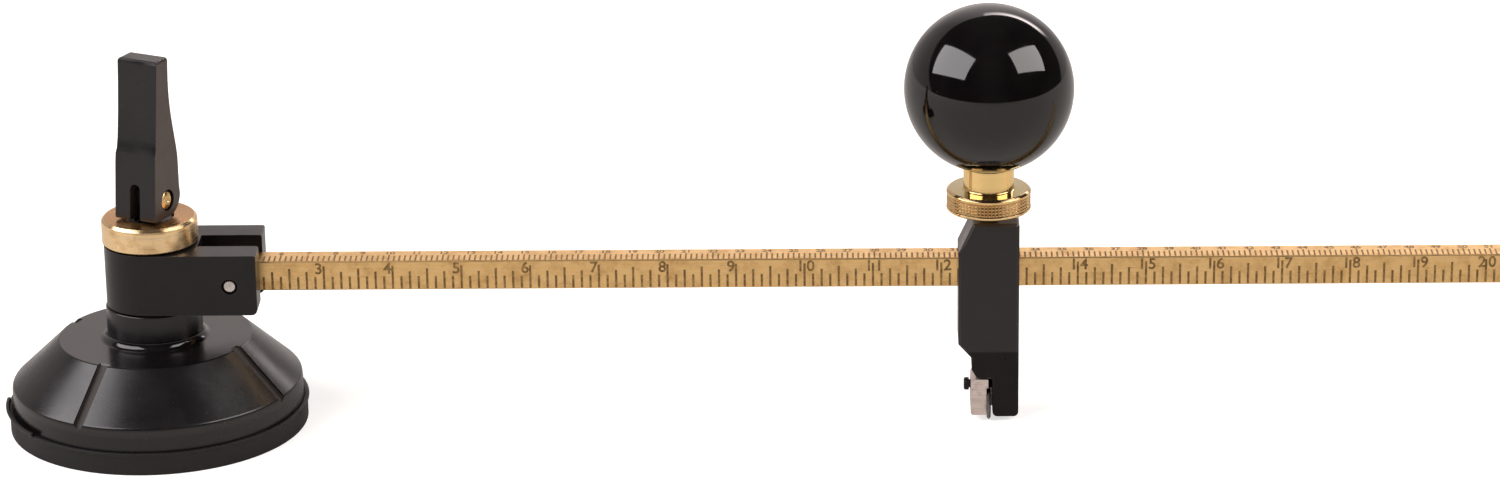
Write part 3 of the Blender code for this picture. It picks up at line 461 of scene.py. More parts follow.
@functools.cache
def finish(name):
    """A finish by its short name, made when it is first asked for."""
    return MAKERS[name]()


# Outlines and meshes, in millimetres

def arc(centre, radius, start, end, steps):
    """Points of a round stretch, both ends included."""
    turns = [start + (end - start) * i / steps for i in range(steps + 1)]
    return [(centre[0] + radius * math.cos(t), centre[1] + radius * math.sin(t)) for t in turns]


def rounded(corners, steps=6, closed=True):
    """An outline from (x, y, radius) corners, each radius turned into an arc."""
    points = []
    for i, (x, y, radius) in enumerate(corners):
        here = Vector((x, y))
        if not radius or (not closed and i in (0, len(corners) - 1)):
            points.append((x, y))
            continue
        back = (Vector(corners[i - 1][:2]) - here).normalized()
        ahead = (Vector(corners[(i + 1) % len(corners)][:2]) - here).normalized()
        half = back.angle(ahead) / 2
        centre = here + (back + ahead).normalized() * (radius / math.sin(half))
        start = here + back * (radius / math.tan(half)) - centre
        turn = start.angle_signed(here + ahead * (radius / math.tan(half)) - centre)
        for step in range(steps + 1):
            spun = start.copy()
            spun.rotate(Matrix.Rotation(-turn * step / steps, 2))
            points.append(tuple(centre + spun))
    return points


def mirrored(side):
    """A profile of (radius, height) points, and its mirror image below."""
    return side + [(r, -z) for r, z in reversed(side)]


def axes(x, y, z):
    """A turn that leads the three axes along these directions."""
    return Matrix((x, y, z)).transposed().to_4x4()


def lying(node, about, yaw=0.0):
    """Lay an upright turned piece down at a node's middle, turned about X or Y and then by a yaw."""
    at = Vector([middle(node, axis) for axis in range(3)]) * MM
    turn = Matrix.Rotation(yaw, 4, "Z") @ Matrix.Rotation(QUARTER_TURN, 4, about)
    return Matrix.Translation(at) @ turn


def put(name, data):
    """A new object in the scene that shows a mesh, a text, a lamp or a camera."""
    made = bpy.data.objects.new(name, data)
    bpy.context.scene.collection.objects.link(made)
    return made


def new_piece(name, points, faces):
    """An object from points in millimetres, with its doubles merged and its faces outwards."""
    mesh = bpy.data.meshes.new(name)
    mesh.from_pydata([Vector(p) * MM for p in points], [], faces)
    work = bmesh.new()
    work.from_mesh(mesh)
    bmesh.ops.remove_doubles(work, verts=work.verts, dist=1e-7)
    bmesh.ops.recalc_face_normals(work, faces=work.faces)
    work.to_mesh(mesh)
    work.free()
    return put(name, mesh)


def turned(name, profile, steps=160, ring=False, start=0.0, sweep=FULL_TURN):
    """Turn a profile of (radius, height) about Z. A ring's profile closes on itself."""
    whole = sweep == FULL_TURN
    columns = steps if whole else steps + 1
    points = [(r * math.cos(start + sweep * c / steps), r * math.sin(start + sweep * c / steps), z)
              for c in range(columns) for r, z in profile]
    count = len(profile)
    faces = []
    for c in range(steps):
        here, there = c * count, (c + 1) % columns * count
        for i in range(count if ring else count - 1):
            j = (i + 1) % count
            if profile[i][0] == 0 and profile[j][0] == 0:
                continue
            if profile[i][0] == 0:
                faces.append((here + i, here + j, there + j))
            elif profile[j][0] == 0:
                faces.append((here + i, here + j, there + i))
            else:
                faces.append((here + i, here + j, there + j, there + i))
    if not whole:
        faces.append(tuple(range(count)))
        faces.append(tuple(range(steps * count, (steps + 1) * count))[::-1])
    return new_piece(name, points, faces)


def slab(name, outline, axis, foot, top):
    """Push a flat outline from foot to top along Y or Z."""
    count = len(outline)
    points = [(a, level, b) if axis == "Y" else (a, b, level)
              for level in (foot, top) for a, b in outline]
    faces = [tuple(range(count)), tuple(range(2 * count - 1, count - 1, -1))]
    faces += [(i, (i + 1) % count, count + (i + 1) % count, count + i) for i in range(count)]
    return new_piece(name, points, faces)


def settle(piece):
    """Turn a piece with modifiers into a plain mesh."""
    graph = bpy.context.evaluated_depsgraph_get()
    mesh = bpy.data.meshes.new_from_object(piece.evaluated_get(graph))
    old = piece.data
    piece.modifiers.clear()
    piece.data = mesh
    mesh.name = piece.name
    bpy.data.meshes.remove(old)
    return piece


def cut(piece, *tools, operation="DIFFERENCE"):
    """Cut tools out of a piece, or join them to it, and remove them."""
    for tool in tools:
        step = piece.modifiers.new(tool.name, "BOOLEAN")
        step.operation = operation
        step.solver = "EXACT"
        step.object = tool
    settle(piece)
    for tool in tools:
        bpy.data.objects.remove(tool)
    return piece


def join(piece, *others):
    """Add other pieces' faces to a piece and remove them."""
    work = bmesh.new()
    for one in (piece, *others):
        work.from_mesh(one.data)
    work.to_mesh(piece.data)
    work.free()
    for one in others:
        bpy.data.objects.remove(one)
    return piece


def copy_node(node, name):
    """A merged copy of a CAD node's mesh, with its flat faces joined up."""
    work = bmesh.new()
    work.from_mesh(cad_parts[node].data)
    bmesh.ops.remove_doubles(work, verts=work.verts, dist=2e-6)
    bmesh.ops.dissolve_limit(work, angle_limit=math.radians(0.6), verts=work.verts,
                             edges=work.edges)
    mesh = bpy.data.meshes.new(name)
    work.to_mesh(mesh)
    work.free()
    return put(name, mesh)


def clean(mesh, distance):
    """Merge a mesh's doubles, and take out the faces that have no area."""
    work = bmesh.new()
    work.from_mesh(mesh)
    bmesh.ops.remove_doubles(work, verts=work.verts, dist=distance)
    bmesh.ops.dissolve_degenerate(work, dist=distance, edges=work.edges)
    bmesh.ops.recalc_face_normals(work, faces=work.faces)
    work.to_mesh(mesh)
    work.free()


def soften(piece, width=0.0, segments=3, sharp=35):
    """Round the sharp edges by a width in millimetres, and shade the rest smoothly."""
    if width:
        edge = piece.modifiers.new("soft_edges", "BEVEL")
        edge.width = width * MM
        edge.segments = segments
        edge.limit_method = "ANGLE"
        edge.angle_limit = math.radians(30)
        edge.use_clamp_overlap = True
        settle(piece)
        clean(piece.data, 0.002 * MM)
    piece.data.shade_smooth()
    piece.data.set_sharp_from_angle(angle=math.radians(sharp))
    flat = piece.modifiers.new("flat_faces", "WEIGHTED_NORMAL")
    flat.keep_sharp = True
    return settle(piece)


def dress(piece, finish_name, body, slot, *nodes):
    """Give a piece its finish, and let it ride in place of its CAD nodes."""
    piece.data.materials.clear()
    piece.data.materials.append(finish(finish_name))
    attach(piece, body)
    if nodes:
        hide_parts(*nodes)
    return piece


def new_tree(name, sockets):
    """An empty Geometry Nodes tree with its named inputs."""
    tree = bpy.data.node_groups.new(name, "GeometryNodeTree")
    tree.interface.new_socket("Geometry", in_out="INPUT", socket_type="NodeSocketGeometry")
    tree.interface.new_socket("Geometry", in_out="OUTPUT", socket_type="NodeSocketGeometry")
    for kind, names in sockets.items():
        for socket in names:
            tree.interface.new_socket(socket, in_out="INPUT", socket_type="NodeSocket" + kind)
    return tree, tree.nodes.new("NodeGroupInput").outputs


def scatter(tree, given, **inputs):
    """End a tree: real copies of a shape on points, in the material that the tree is given."""
    placed = add(tree, "GeometryNodeInstanceOnPoints", inputs)
    real = add(tree, "GeometryNodeRealizeInstances", [placed])
    done = add(tree, "GeometryNodeSetMaterial", {"Geometry": real, "Material": given["Material"]})
    add(tree, "NodeGroupOutput", [done])
    return tree


def run_tree(name, tree, values, matrix):
    """Run a Geometry Nodes tree with its named inputs and keep the result as a plain mesh."""
    piece = put(name, bpy.data.meshes.new(name))
    step = piece.modifiers.new(name, "NODES")
    step.node_group = tree
    sockets = {item.name: item.identifier for item in tree.interface.items_tree
               if item.item_type == "SOCKET" and item.in_out == "INPUT"}
    for key, value in values.items():
        step[sockets[key]] = value
    settle(piece)
    piece.data.transform(matrix)
    return piece


def tick_tree():
    """Marks along X that rise along Y. Those at every Second, Third and Long number are longer."""
    tree, given = new_tree("scale_ticks", {
        "Int": ("Count", "First Number", "Second Every", "Third Every", "Long Every"),
        "Float": ("Start", "Spacing", "Width", "Foot", "Relief", "Short", "Second", "Third",
                  "Long"),
        "Material": ("Material",)})
    number = add(tree, "Math", [add(tree, "GeometryNodeInputIndex"), given["First Number"]],
                 operation="ADD")
    length = given["Short"]
    for longer in ("Second", "Third", "Long"):
        rest = add(tree, "Math", [number, given[longer + " Every"]], operation="FLOORED_MODULO")
        hit = add(tree, "Math", [rest, 0.5], operation="LESS_THAN")
        length = add(tree, "GeometryNodeSwitch", [hit, length, given[longer]],
                     input_type="FLOAT")
    row = add(tree, "GeometryNodeMeshLine", {
        "Count": given["Count"],
        "Start Location": add(tree, "CombineXYZ", [given["Start"], given["Foot"]]),
        "Offset": add(tree, "CombineXYZ", [given["Spacing"]])})
    mark = add(tree, "GeometryNodeTransform", {"Geometry": add(tree, "GeometryNodeMeshCube"),
                                               "Translation": (0, 0.5, 0)})
    size = add(tree, "CombineXYZ", [given["Width"], length, given["Relief"]])
    return scatter(tree, given, Points=row, Instance=mark, Scale=size)


def knurl_tree():
    """Rows of small blunt pyramids round a band, as a straight and a cross knurl leave them."""
    tree, given = new_tree("knurl_rows", {
        "Int": ("Rows", "Teeth"),
        "Float": ("Radius", "Foot", "Row Height", "Tooth Size", "Depth"),
        "Material": ("Material",)})
    total = add(tree, "Math", [given["Rows"], given["Teeth"]], operation="MULTIPLY")
    points = add(tree, "GeometryNodeMeshLine", {"Count": total})
    index = add(tree, "GeometryNodeInputIndex")
    lap = add(tree, "Math", [index, given["Teeth"]], operation="DIVIDE")
    row = add(tree, "Math", [add(tree, "Math", [lap], operation="FLOOR"), 0.5], operation="ADD")
    turn = add(tree, "Math", [lap, FULL_TURN], operation="MULTIPLY")
    sides = [add(tree, "Math", [add(tree, "Math", [turn], operation=side), given["Radius"]],
                 operation="MULTIPLY") for side in ("COSINE", "SINE")]
    up = add(tree, "Math", [row, given["Row Height"], given["Foot"]], operation="MULTIPLY_ADD")
    around = add(tree, "GeometryNodeSetPosition", {
        "Geometry": points, "Position": add(tree, "CombineXYZ", [*sides, up])})
    tooth = add(tree, "GeometryNodeMeshCone", {"Vertices": 4, "Radius Top": 0.4,
                                               "Radius Bottom": 1.0, "Depth": 1.0})
    square = add(tree, "GeometryNodeTransform", {"Geometry": tooth,
                                                 "Rotation": (0, 0, math.pi / 4)})
    size = add(tree, "CombineXYZ", [given["Tooth Size"], given["Tooth Size"], given["Depth"]])
    outwards = add(tree, "CombineXYZ", [0.0, QUARTER_TURN, turn])
    return scatter(tree, given, Points=around, Instance=square, Rotation=outwards, Scale=size)


def numerals(name, labels, size, matrix, relief):
    """Numbers as one flat mesh. Each label is (text, x, y) in millimetres in the face's plane."""
    work = bmesh.new()
    for text, x, y in labels:
        curve = bpy.data.curves.new(name, "FONT")
        curve.body = text
        curve.size = size
        curve.resolution_u = 5
        curve.align_x = "CENTER"
        curve.extrude = relief
        curve.offset = 0.02 * size
        curve.space_character = 0.95
        holder = put(name, curve)
        graph = bpy.context.evaluated_depsgraph_get()
        mesh = bpy.data.meshes.new_from_object(holder.evaluated_get(graph))
        clean(mesh, 0.001 * MM)
        mesh.transform(matrix @ Matrix.Translation((x * MM, y * MM, 0)))
        work.from_mesh(mesh)
        bpy.data.objects.remove(holder)
        bpy.data.meshes.remove(mesh)
    mesh = bpy.data.meshes.new(name)
    work.to_mesh(mesh)
    work.free()
    return put(name, mesh)


# Sizes and colours that a user may change

def colour_property(name, description, default):
    return FloatVectorProperty(name=name, description=description, subtype="COLOR", size=3,
                               min=0.0, max=1.0, default=linear(default)[:3])


def length_property(name, description, default):
    return FloatProperty(name=name, description=description, default=default * MM, min=0.0,
                         unit="LENGTH", subtype="DISTANCE", precision=5)


def strength_property(name, description, default):
    return FloatProperty(name=name, description=description, default=default, min=0.0)


class CutterColours(bpy.types.PropertyGroup):
    """Colours of the main finishes."""
    housing: colour_property("Housing", "Moulded ABS cap", "#0d0b0c")
    enamel: colour_property("Enamel", "Black enamel of the arm and the head", "#121011")
    bar: colour_property("Bar", "Drawn brass of the bar", "#e8bb78")
    turned: colour_property("Collar", "Turned brass of the collar", "#fad6a0")
    ball: colour_property("Ball", "Phenolic ball", "#060405")
    engraving: colour_property("Engraving", "Filler of the scale's marks", "#6e4f24")


class BaseSizes(bpy.types.PropertyGroup):
    """Sizes of the suction base."""
    boss_radius: length_property("Boss radius", "Round boss on the housing", 8.8)
    boss_fillet: length_property("Boss fillet", "Hollow round the boss foot", 1.5)
    flat_height: length_property("Flat height", "Flat top above the glass", 17.1)
    flat_radius: length_property("Flat radius", "Where the cone starts", 17.8)
    rim_top: length_property("Rim top", "Where the cone ends, above the glass", 8.3)
    shoulder: length_property("Shoulder rounding", "Rounding between cone and rim", 0.8)
    wall: length_property("Wall", "Thickness of the housing", 2.4)
    groove_width: length_property("Groove width", "Width of the grooves in the cone", 2.1)
    groove_depth: length_property("Groove depth", "Depth of the grooves in the cone", 0.75)
    groove_count: IntProperty(name="Grooves", description="Grooves round the cone", default=4,
                              min=0, max=12)


class ScaleSizes(bpy.types.PropertyGroup):
    """Sizes of the engraved scales."""
    tick_width: length_property("Mark width", "Width of an engraved mark", 0.42)
    numeral_front: length_property("Front numerals", "Type size of the inch numerals", 3.0)
    numeral_top: length_property("Top numerals", "Type size of the centimetre numerals", 2.0)
    relief: length_property("Filler height", "How far the filler stands proud", 0.012)


class ClampSizes(bpy.types.PropertyGroup):
    """Sizes of the clamp screw."""
    neck_radius: length_property("Neck radius", "Radius of the neck under the ball", 4.7)
    shank_radius: length_property("Shank radius", "Radius of the threaded shank", 2.0)
    thread_pitch: length_property("Thread pitch", "Pitch of the thread", 0.7)
    knurl_depth: length_property("Knurl depth", "Depth of the knurl's teeth", 0.2)
    knurl_rows: IntProperty(name="Rows", description="Rows of teeth", default=4, min=1, max=12)
    knurl_teeth: IntProperty(name="Teeth", description="Teeth in a row", default=72, min=12,
                             max=200)


class StudioSettings(bpy.types.PropertyGroup):
    """Light and floor."""
    light_radiance: strength_property("Softboxes", "Brightness of both softboxes", 5.7)
    room_light: strength_property("Room", "Even light from the room", 0.15)
    floor_glow: strength_property("Floor glow", "Lifts the floor to white in the view", 0.66)
    floor: colour_property("Floor", "Pale floor", "#d5d1cb")


# Pieces

class CUTTER_OT_base(bpy.types.Operator):
    """Make the moulded housing and the rubber cup with its pull tab"""
    bl_idname = "cutter.base"
    bl_label = "Suction base"

    def execute(self, context):
        self.housing(context.scene.cutter_base)
        self.cup()
        return {"FINISHED"}

    def housing(self, sizes):
        """The cap, with grooves cut down its cone and out through the shoulder."""
        foot, top = low("base_housing", 2), high("base_housing", 2)
        rim, bore = high("base_housing", 0), high("pivot_sleeve", 0) + SLEEVE_AIR
        (edge, flat), (cone_foot, shoulder_height) = cone_ends()
        rim_top, wall = sizes.rim_top / MM, sizes.wall / MM
        boss = sizes.boss_radius / MM
        ceiling = flat - wall
        housing = turned("moulded_housing", rounded([
            (bore, top, 0.15), (boss, top, 0.3), (boss, flat, sizes.boss_fillet / MM),
            (edge, flat, 0.5), (cone_foot, shoulder_height, sizes.shoulder / MM),
            (rim, foot, 0.25), (rim - wall, foot, 0.2), (rim - wall, rim_top - 0.6, 0.4),
            (edge - wall / 2, ceiling, 0.4), (bore, ceiling, 0)]), steps=240, ring=True)
        # A groove starts inside the flat top and ends below the shoulder
        inset, overrun = 0.6, 0.7
        slope = math.atan2(flat - rim_top - inset, rim - inset - edge)
        along = Vector((math.cos(slope), 0, -math.sin(slope)))
        out = Vector((math.sin(slope), 0, math.cos(slope)))
        start = Vector((edge, 0, flat)) - along
        end = Vector((rim - inset + overrun / math.tan(slope), 0, rim_top + inset - overrun))
        half, depth = sizes.groove_width / MM / 2, sizes.groove_depth / MM
        length = (end - along * half - start).length
        outline = [(0, -half), *arc((length, 0), half, -QUARTER_TURN, QUARTER_TURN, 10), (0, half)]
        laid = Matrix.Translation(start * MM) @ axes(along, out.cross(along), out)
        grooves = []
        for i in range(sizes.groove_count):
            groove = slab(f"groove_{i}", outline, "Z", -depth, depth)
            turn = FULL_TURN * i / sizes.groove_count - QUARTER_TURN + LEVER_YAW
            groove.data.transform(Matrix.Rotation(turn, 4, "Z") @ laid)
            grooves.append(groove)
        cut(housing, *grooves)
        dress(soften(housing), "abs", "base", "moulded_plastic", "base_housing")

    def cup(self):
        """The cup, whose thin lip stands out under the housing, and the tab on that lip."""
        rim, lip = high("base_housing", 0), high("rubber_cup", 1)
        wide = lip - 0.3
        band = low("base_housing", 2) - 0.1
        lip_top = band + 0.35
        floor, dish, plate = 1.2, 2.6, high("foot_plate", 0) + 0.1
        cup = turned("suction_cup", [(0, floor)] + rounded([
            (plate, floor, 0), (plate, dish, 0), (wide - 3.8, dish, 0.3), (wide - 3.6, band, 0.3),
            (rim + 0.1, band, 0), (rim + 0.1, lip_top, 0.08), (lip, lip_top, 0.12),
            (lip, lip_top - 0.3, 0.1), (wide, band - 0.45, 0.3), (wide, 0.0, 0.22),
            (wide - 3.0, 0.0, 0)], closed=False) + [(0, 0.0)], steps=240)
        tab_start, tab_sweep = math.radians(181), math.radians(41)
        tab = turned("pull_tab", rounded([
            (lip - 0.15, lip_top + 0.65, 0.15), (lip + 0.5, lip_top + 0.55, 0.2),
            (lip + 0.3, lip_top + 0.1, 0.1), (lip - 0.05, band - 0.1, 0),
            (lip - 0.35, band - 0.1, 0), (lip - 0.35, lip_top + 0.05, 0)], steps=3),
            steps=48, ring=True, start=tab_start, sweep=tab_sweep)
        soften(tab, 0.12, 2)
        dress(join(soften(cup), tab), "rubber", "base", "moulded_rubber", "rubber_cup")


class CUTTER_OT_collar(bpy.types.Operator):
    """Make the turned brass collar over the arm's hub"""
    bl_idname = "cutter.collar"
    bl_label = "Collar"

    def execute(self, context):
        top, foot = high("collar_nut", 2), low("collar_nut", 2)
        radius, bore = high("collar_nut", 1), high("pivot_sleeve", 0) + SLEEVE_AIR
        collar = turned("brass_collar", rounded([
            (bore, top, 0.1), (radius - 0.55, top, 0.06), (radius - 0.06, top - 0.5, 0.06),
            (radius, top - 0.9, 0.1), (radius, foot + 0.25, 0.08), (radius - 0.25, foot, 0.05),
            (bore, foot, 0)], steps=4), steps=240, ring=True)
        dress(soften(collar, sharp=28), "collar", "base", "turned_brass", "collar_nut")
        return {"FINISHED"}


class CUTTER_OT_lever(bpy.types.Operator):
    """Make the moulded cam lever and its domed rivet"""
    bl_idname = "cutter.lever"
    bl_label = "Cam lever"

    def execute(self, context):
        lever = copy_node("lock_lever", "cam_lever")
        # The photo's lever reaches a little higher above its pin than the CAD solid
        stretch, pin_height = 0.025, middle("lever_pin", 2) * MM
        for vertex in lever.data.vertices:
            vertex.co.z += stretch * max(vertex.co.z - pin_height, 0.0)
        dress(soften(lever, 0.1, 2), "acetal", "lever", "lever_plastic", "lock_lever")
        head, half, seat = half_size("lever_pin", 2), 4.35, 0.75
        dimple = [(0, half - 0.3), (0.25, half - 0.26), (0.4, half - 0.08), (0.5, half - 0.04)]
        dome = [(head * math.sin(t), half - 0.5 * (1 - math.cos(t)) ** 0.9)
                for t in (QUARTER_TURN * i / 12 for i in range(4, 13))]
        side = [*dimple, *dome, (head, half - seat + 0.05), (head - 0.1, half - seat),
                (1.1, half - seat)]
        rivet = turned("lever_rivet", mirrored(side), steps=64)
        rivet.data.transform(lying("lever_pin", "Y", LEVER_YAW))
        dress(soften(rivet), "rivet", "lever", "turned_brass", "lever_pin")
        return {"FINISHED"}


class CUTTER_OT_arm(bpy.types.Operator):
    """Make the enamelled arm block and the hinge pin in its cheeks"""
    bl_idname = "cutter.arm"
    bl_label = "Swivelling arm"

    def execute(self, context):
        arm = copy_node("arm_block", "arm_casting")
        dress(soften(arm, 0.12, 2), "arm", "arm", "black_paint", "arm_block")
        radius, end = half_size("hinge_pin", 2), half_size("hinge_pin", 1)
        pin = turned("steel_hinge_pin", mirrored([
            (0, end), (radius * 0.6, end - 0.02), (radius - 0.2, end - 0.06),
            (radius, end - 0.25)]), steps=64)
        pin.data.transform(lying("hinge_pin", "X"))
        dress(soften(pin), "pin", "arm", "bright_steel", "hinge_pin")
        return {"FINISHED"}


class CUTTER_OT_bar(bpy.types.Operator):
    """Make the square brass bar with its inch scale in front and its centimetre scale on top"""
    bl_idname = "cutter.bar"
    bl_label = "Bar and scales"

    # The scales count from this X, in millimetres
    zero = -6.12
    # A circle's diameter is twice its radius, so an inch of it takes half an inch of bar
    half_inch, half_centimetre = 12.7, 5.0

    def execute(self, context):
        sizes = context.scene.cutter_scale
        bar = copy_node("scale_bar", "brass_bar")
        dress(soften(bar, 0.06, 2), "bar", "beam", "drawn_brass", "scale_bar")
        front, foot, top = low("scale_bar", 1), low("scale_bar", 2), high("scale_bar", 2)
        rises = Matrix.Rotation(QUARTER_TURN, 4, "X")
        front_face = Matrix.Translation((0, front * MM, foot * MM)) @ rises
        top_face = Matrix.Translation((0, front * MM, top * MM))
        tree = tick_tree()
        inches, centimetres = range(3, 25), range(6, 62)
        # A numeral stands a little left of its mark, and the two of a pair stand on both sides
        front_labels, base_line = [], 3.25
        for number in inches:
            tick = self.zero + self.half_inch * number
            shifts = (-0.95,) if number < 10 else (-0.75, 1.15)
            front_labels += [(digit, tick + shift, base_line)
                             for digit, shift in zip(str(number), shifts)]
        base_line = 3.75
        top_labels = [(str(number), self.zero + self.half_centimetre * number, base_line)
                      for number in centimetres]
        for marks in (
                run_tree("inch_marks", tree, self.ruler(
                    sizes, first=8 * inches[0] - 8, last=8 * inches[-1] + 2,
                    spacing=self.half_inch / 8, every=(2, 4, 8), lengths=(2.45, 3.4, 4.0, 4.5),
                    foot=0.25), front_face),
                run_tree("centimetre_marks", tree, self.ruler(
                    sizes, first=23, last=305, spacing=1.0, every=(5, 5, 10),
                    lengths=(2.7, 3.0, 3.0, 3.3), foot=0.3, width=0.8), top_face),
                numerals("inch_numerals", front_labels, sizes.numeral_front, front_face,
                         sizes.relief),
                numerals("centimetre_numerals", top_labels, sizes.numeral_top, top_face,
                         sizes.relief)):
            dress(marks, "engraving", "beam", "drawn_brass")
        return {"FINISHED"}

    def ruler(self, sizes, first, last, spacing, every, lengths, foot, width=1.0):
        """The tick tree's inputs. Lengths are in millimetres, and the width is a share."""
        values = {"First Number": first, "Count": last - first + 1, "Spacing": spacing * MM,
                  "Start": (self.zero + spacing * first) * MM, "Foot": foot * MM,
                  "Width": width * sizes.tick_width, "Relief": 2 * sizes.relief,
                  "Material": finish("engraving")}
        for name, number in zip(("Second", "Third", "Long"), every):
            values[name + " Every"] = number
        for name, length in zip(("Short", "Second", "Third", "Long"), lengths):
            values[name] = length * MM
        return values


class CUTTER_OT_head(bpy.types.Operator):
    """Make the cutting head, the wheel's holder, its screw, the axle and the wheel"""
    bl_idname = "cutter.head"
    bl_label = "Cutting head"

    def execute(self, context):
        head = copy_node("head_block", "head_casting")
        dress(soften(head, 0.1, 2), "head", "head", "black_paint", "head_block")
        self.holder()
        screw = copy_node("holder_screw", "socket_screw")
        dress(soften(screw, 0.05, 2), "oxide", "head", "blackened_steel", "holder_screw")
        radius, half, chamfer = half_size("wheel_axle", 2), half_size("wheel_axle", 0), 0.1
        axle = turned("axle_pin", mirrored([
            (0, half), (radius - chamfer, half), (radius, half - chamfer)]), steps=48)
        axle.data.transform(lying("wheel_axle", "Y"))
        dress(soften(axle), "pin", "head", "bright_steel", "wheel_axle")
        radius, half = half_size("cutting_wheel", 2), half_size("cutting_wheel", 0)
        bore, edge = 0.6, 0.03
        wheel = turned("glass_wheel", mirrored([
            (bore, half), (radius - 0.45, half), (radius - 0.35, half - edge), (radius, edge)]),
            steps=128, ring=True)
        wheel.data.transform(lying("cutting_wheel", "Y"))
        dress(soften(wheel, sharp=25), "wheel", "wheel", "bright_steel", "cutting_wheel")
        return {"FINISHED"}

    def holder(self):
        """The plate beside the wheel, with a bridge over the wheel and a heel behind it."""
        left, foot, top = low("wheel_holder", 0), low("wheel_holder", 2), high("wheel_holder", 2)
        front, back = low("wheel_holder", 1), high("wheel_holder", 1)
        air, overlap = 0.45, 0.5
        arch = high("cutting_wheel", 2) + air
        plate, wall = low("cutting_wheel", 0) - 0.1, high("cutting_wheel", 0) + air
        bridge = plate + 0.35
        holder = slab("holder_plate", rounded([
            (left, foot, 0.45), (plate, foot, 0.1), (plate, arch, 0), (bridge, arch, 0),
            (bridge, top, 0.3), (left, top, 1.1)]), "Y", front, back)
        rear = high("cutting_wheel", 1) + 0.3
        heel = slab("holder_heel", [(plate - overlap, foot), (wall, foot), (wall, arch + overlap),
                                    (plate - overlap, arch + overlap)], "Y", rear, back)
        soften(cut(holder, heel, operation="UNION"), 0.12)
        dress(holder, "holder", "head", "bright_steel", "wheel_holder")


class CUTTER_OT_clamp(bpy.types.Operator):
    """Make the clamp screw with its thread and its knurled flange"""
    bl_idname = "cutter.clamp"
    bl_label = "Clamp screw"

    def execute(self, context):
        sizes = context.scene.cutter_clamp
        at = Matrix.Translation(clamp_axis())
        neck, shank = sizes.neck_radius / MM, sizes.shank_radius / MM
        pitch, depth = sizes.thread_pitch / MM, sizes.knurl_depth / MM
        flange, (bottom, flange_top) = half_size("clamp_screw", 1), flange_heights()
        band_foot, band_top = knurl_band()
        # The neck reaches almost to the ball, so that no dark gap shows
        seat = low("ball_knob", 2) - 0.05
        socket, floor = 2.25, high("clamp_screw", 2) - 5.6
        # The teeth stand on a band that is cut a little deeper than they are high
        band, margin = flange - depth - 0.05, 0.05
        tip, level = low("clamp_screw", 2), bottom - 0.2
        thread = []
        while level > tip + pitch:
            thread += [(shank, level), (shank, level - pitch * 0.12),
                       (shank - 0.35, level - pitch * 0.5), (shank, level - pitch * 0.88)]
            level -= pitch
        screw = turned("brass_clamp_screw", [(0, floor), (socket, floor)] + rounded([
            (socket, seat, 0.1), (neck, seat, 0.06), (neck, flange_top, 0.35),
            (flange - 0.45, flange_top, 0.2), (flange, flange_top - 0.4, 0.15),
            (flange, band_top, 0.05), (band, band_top - margin, 0),
            (band, band_foot + margin, 0), (flange, band_foot, 0.05),
            (flange, bottom + 0.25, 0.1), (flange - 0.3, bottom, 0.1), (shank, bottom, 0)],
            steps=4) + thread + [(shank - 0.4, tip), (0, tip)], steps=240)
        tall = (band_top - band_foot - 2 * margin) / sizes.knurl_rows
        # A tooth's size is half its foot's diagonal, a little less than what would touch the next
        tooth = min(tall, FULL_TURN * flange / sizes.knurl_teeth) / math.sqrt(2) * 0.98
        knurl = run_tree("knurled_band", knurl_tree(), {
            "Radius": (band - 0.01) * MM, "Foot": (band_foot + margin) * MM,
            "Row Height": tall * MM, "Rows": sizes.knurl_rows, "Teeth": sizes.knurl_teeth,
            "Tooth Size": tooth * MM, "Depth": depth * MM, "Material": finish("screw")}, at)
        screw.data.transform(at)
        soften(screw, sharp=28)
        dress(join(screw, knurl), "screw", "screw", "turned_brass", "clamp_screw")
        return {"FINISHED"}


class CUTTER_OT_knob(bpy.types.Operator):
    """Make the polished ball with its flat and its bore"""
    bl_idname = "cutter.knob"
    bl_label = "Ball knob"

    def execute(self, context):
        foot, top, radius = low("ball_knob", 2), high("ball_knob", 2), half_size("ball_knob", 1)
        bore, ceiling = high("knob_bush", 1) + 0.1, high("knob_stud", 2) + 0.6
        centre = top - radius
        flat = math.sqrt(radius ** 2 - (centre - foot) ** 2)
        curve = arc((0, centre), radius, QUARTER_TURN, -math.acos(flat / radius), 96)[1:-1]
        ball = turned("black_ball", [(0, top), *curve, (flat, foot + 0.03), (flat - 0.08, foot),
                                     (bore, foot), (bore, ceiling), (0, ceiling)], steps=192)
        ball.data.transform(Matrix.Translation(clamp_axis()))
        dress(soften(ball), "phenolic", "knob", "gloss_black", "ball_knob")
        return {"FINISHED"}


class CUTTER_OT_inner(bpy.types.Operator):
    """Give the inner parts that stay as they are their real finishes"""
    bl_idname = "cutter.inner"
    bl_label = "Inner parts"

    def execute(self, context):
        finishes = {"oxide": ("pivot_sleeve", "pull_rod"), "zinc": ("base_nut", "foot_plate"),
                    "nylon": ("lower_washer", "upper_washer", "arm_bush", "knob_bush"),
                    "rivet": ("clamp_pad",), "pin": ("knob_stud",)}
        for name, nodes in finishes.items():
            for node in nodes:
                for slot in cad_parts[node].material_slots:
                    slot.material = finish(name)
        return {"FINISHED"}


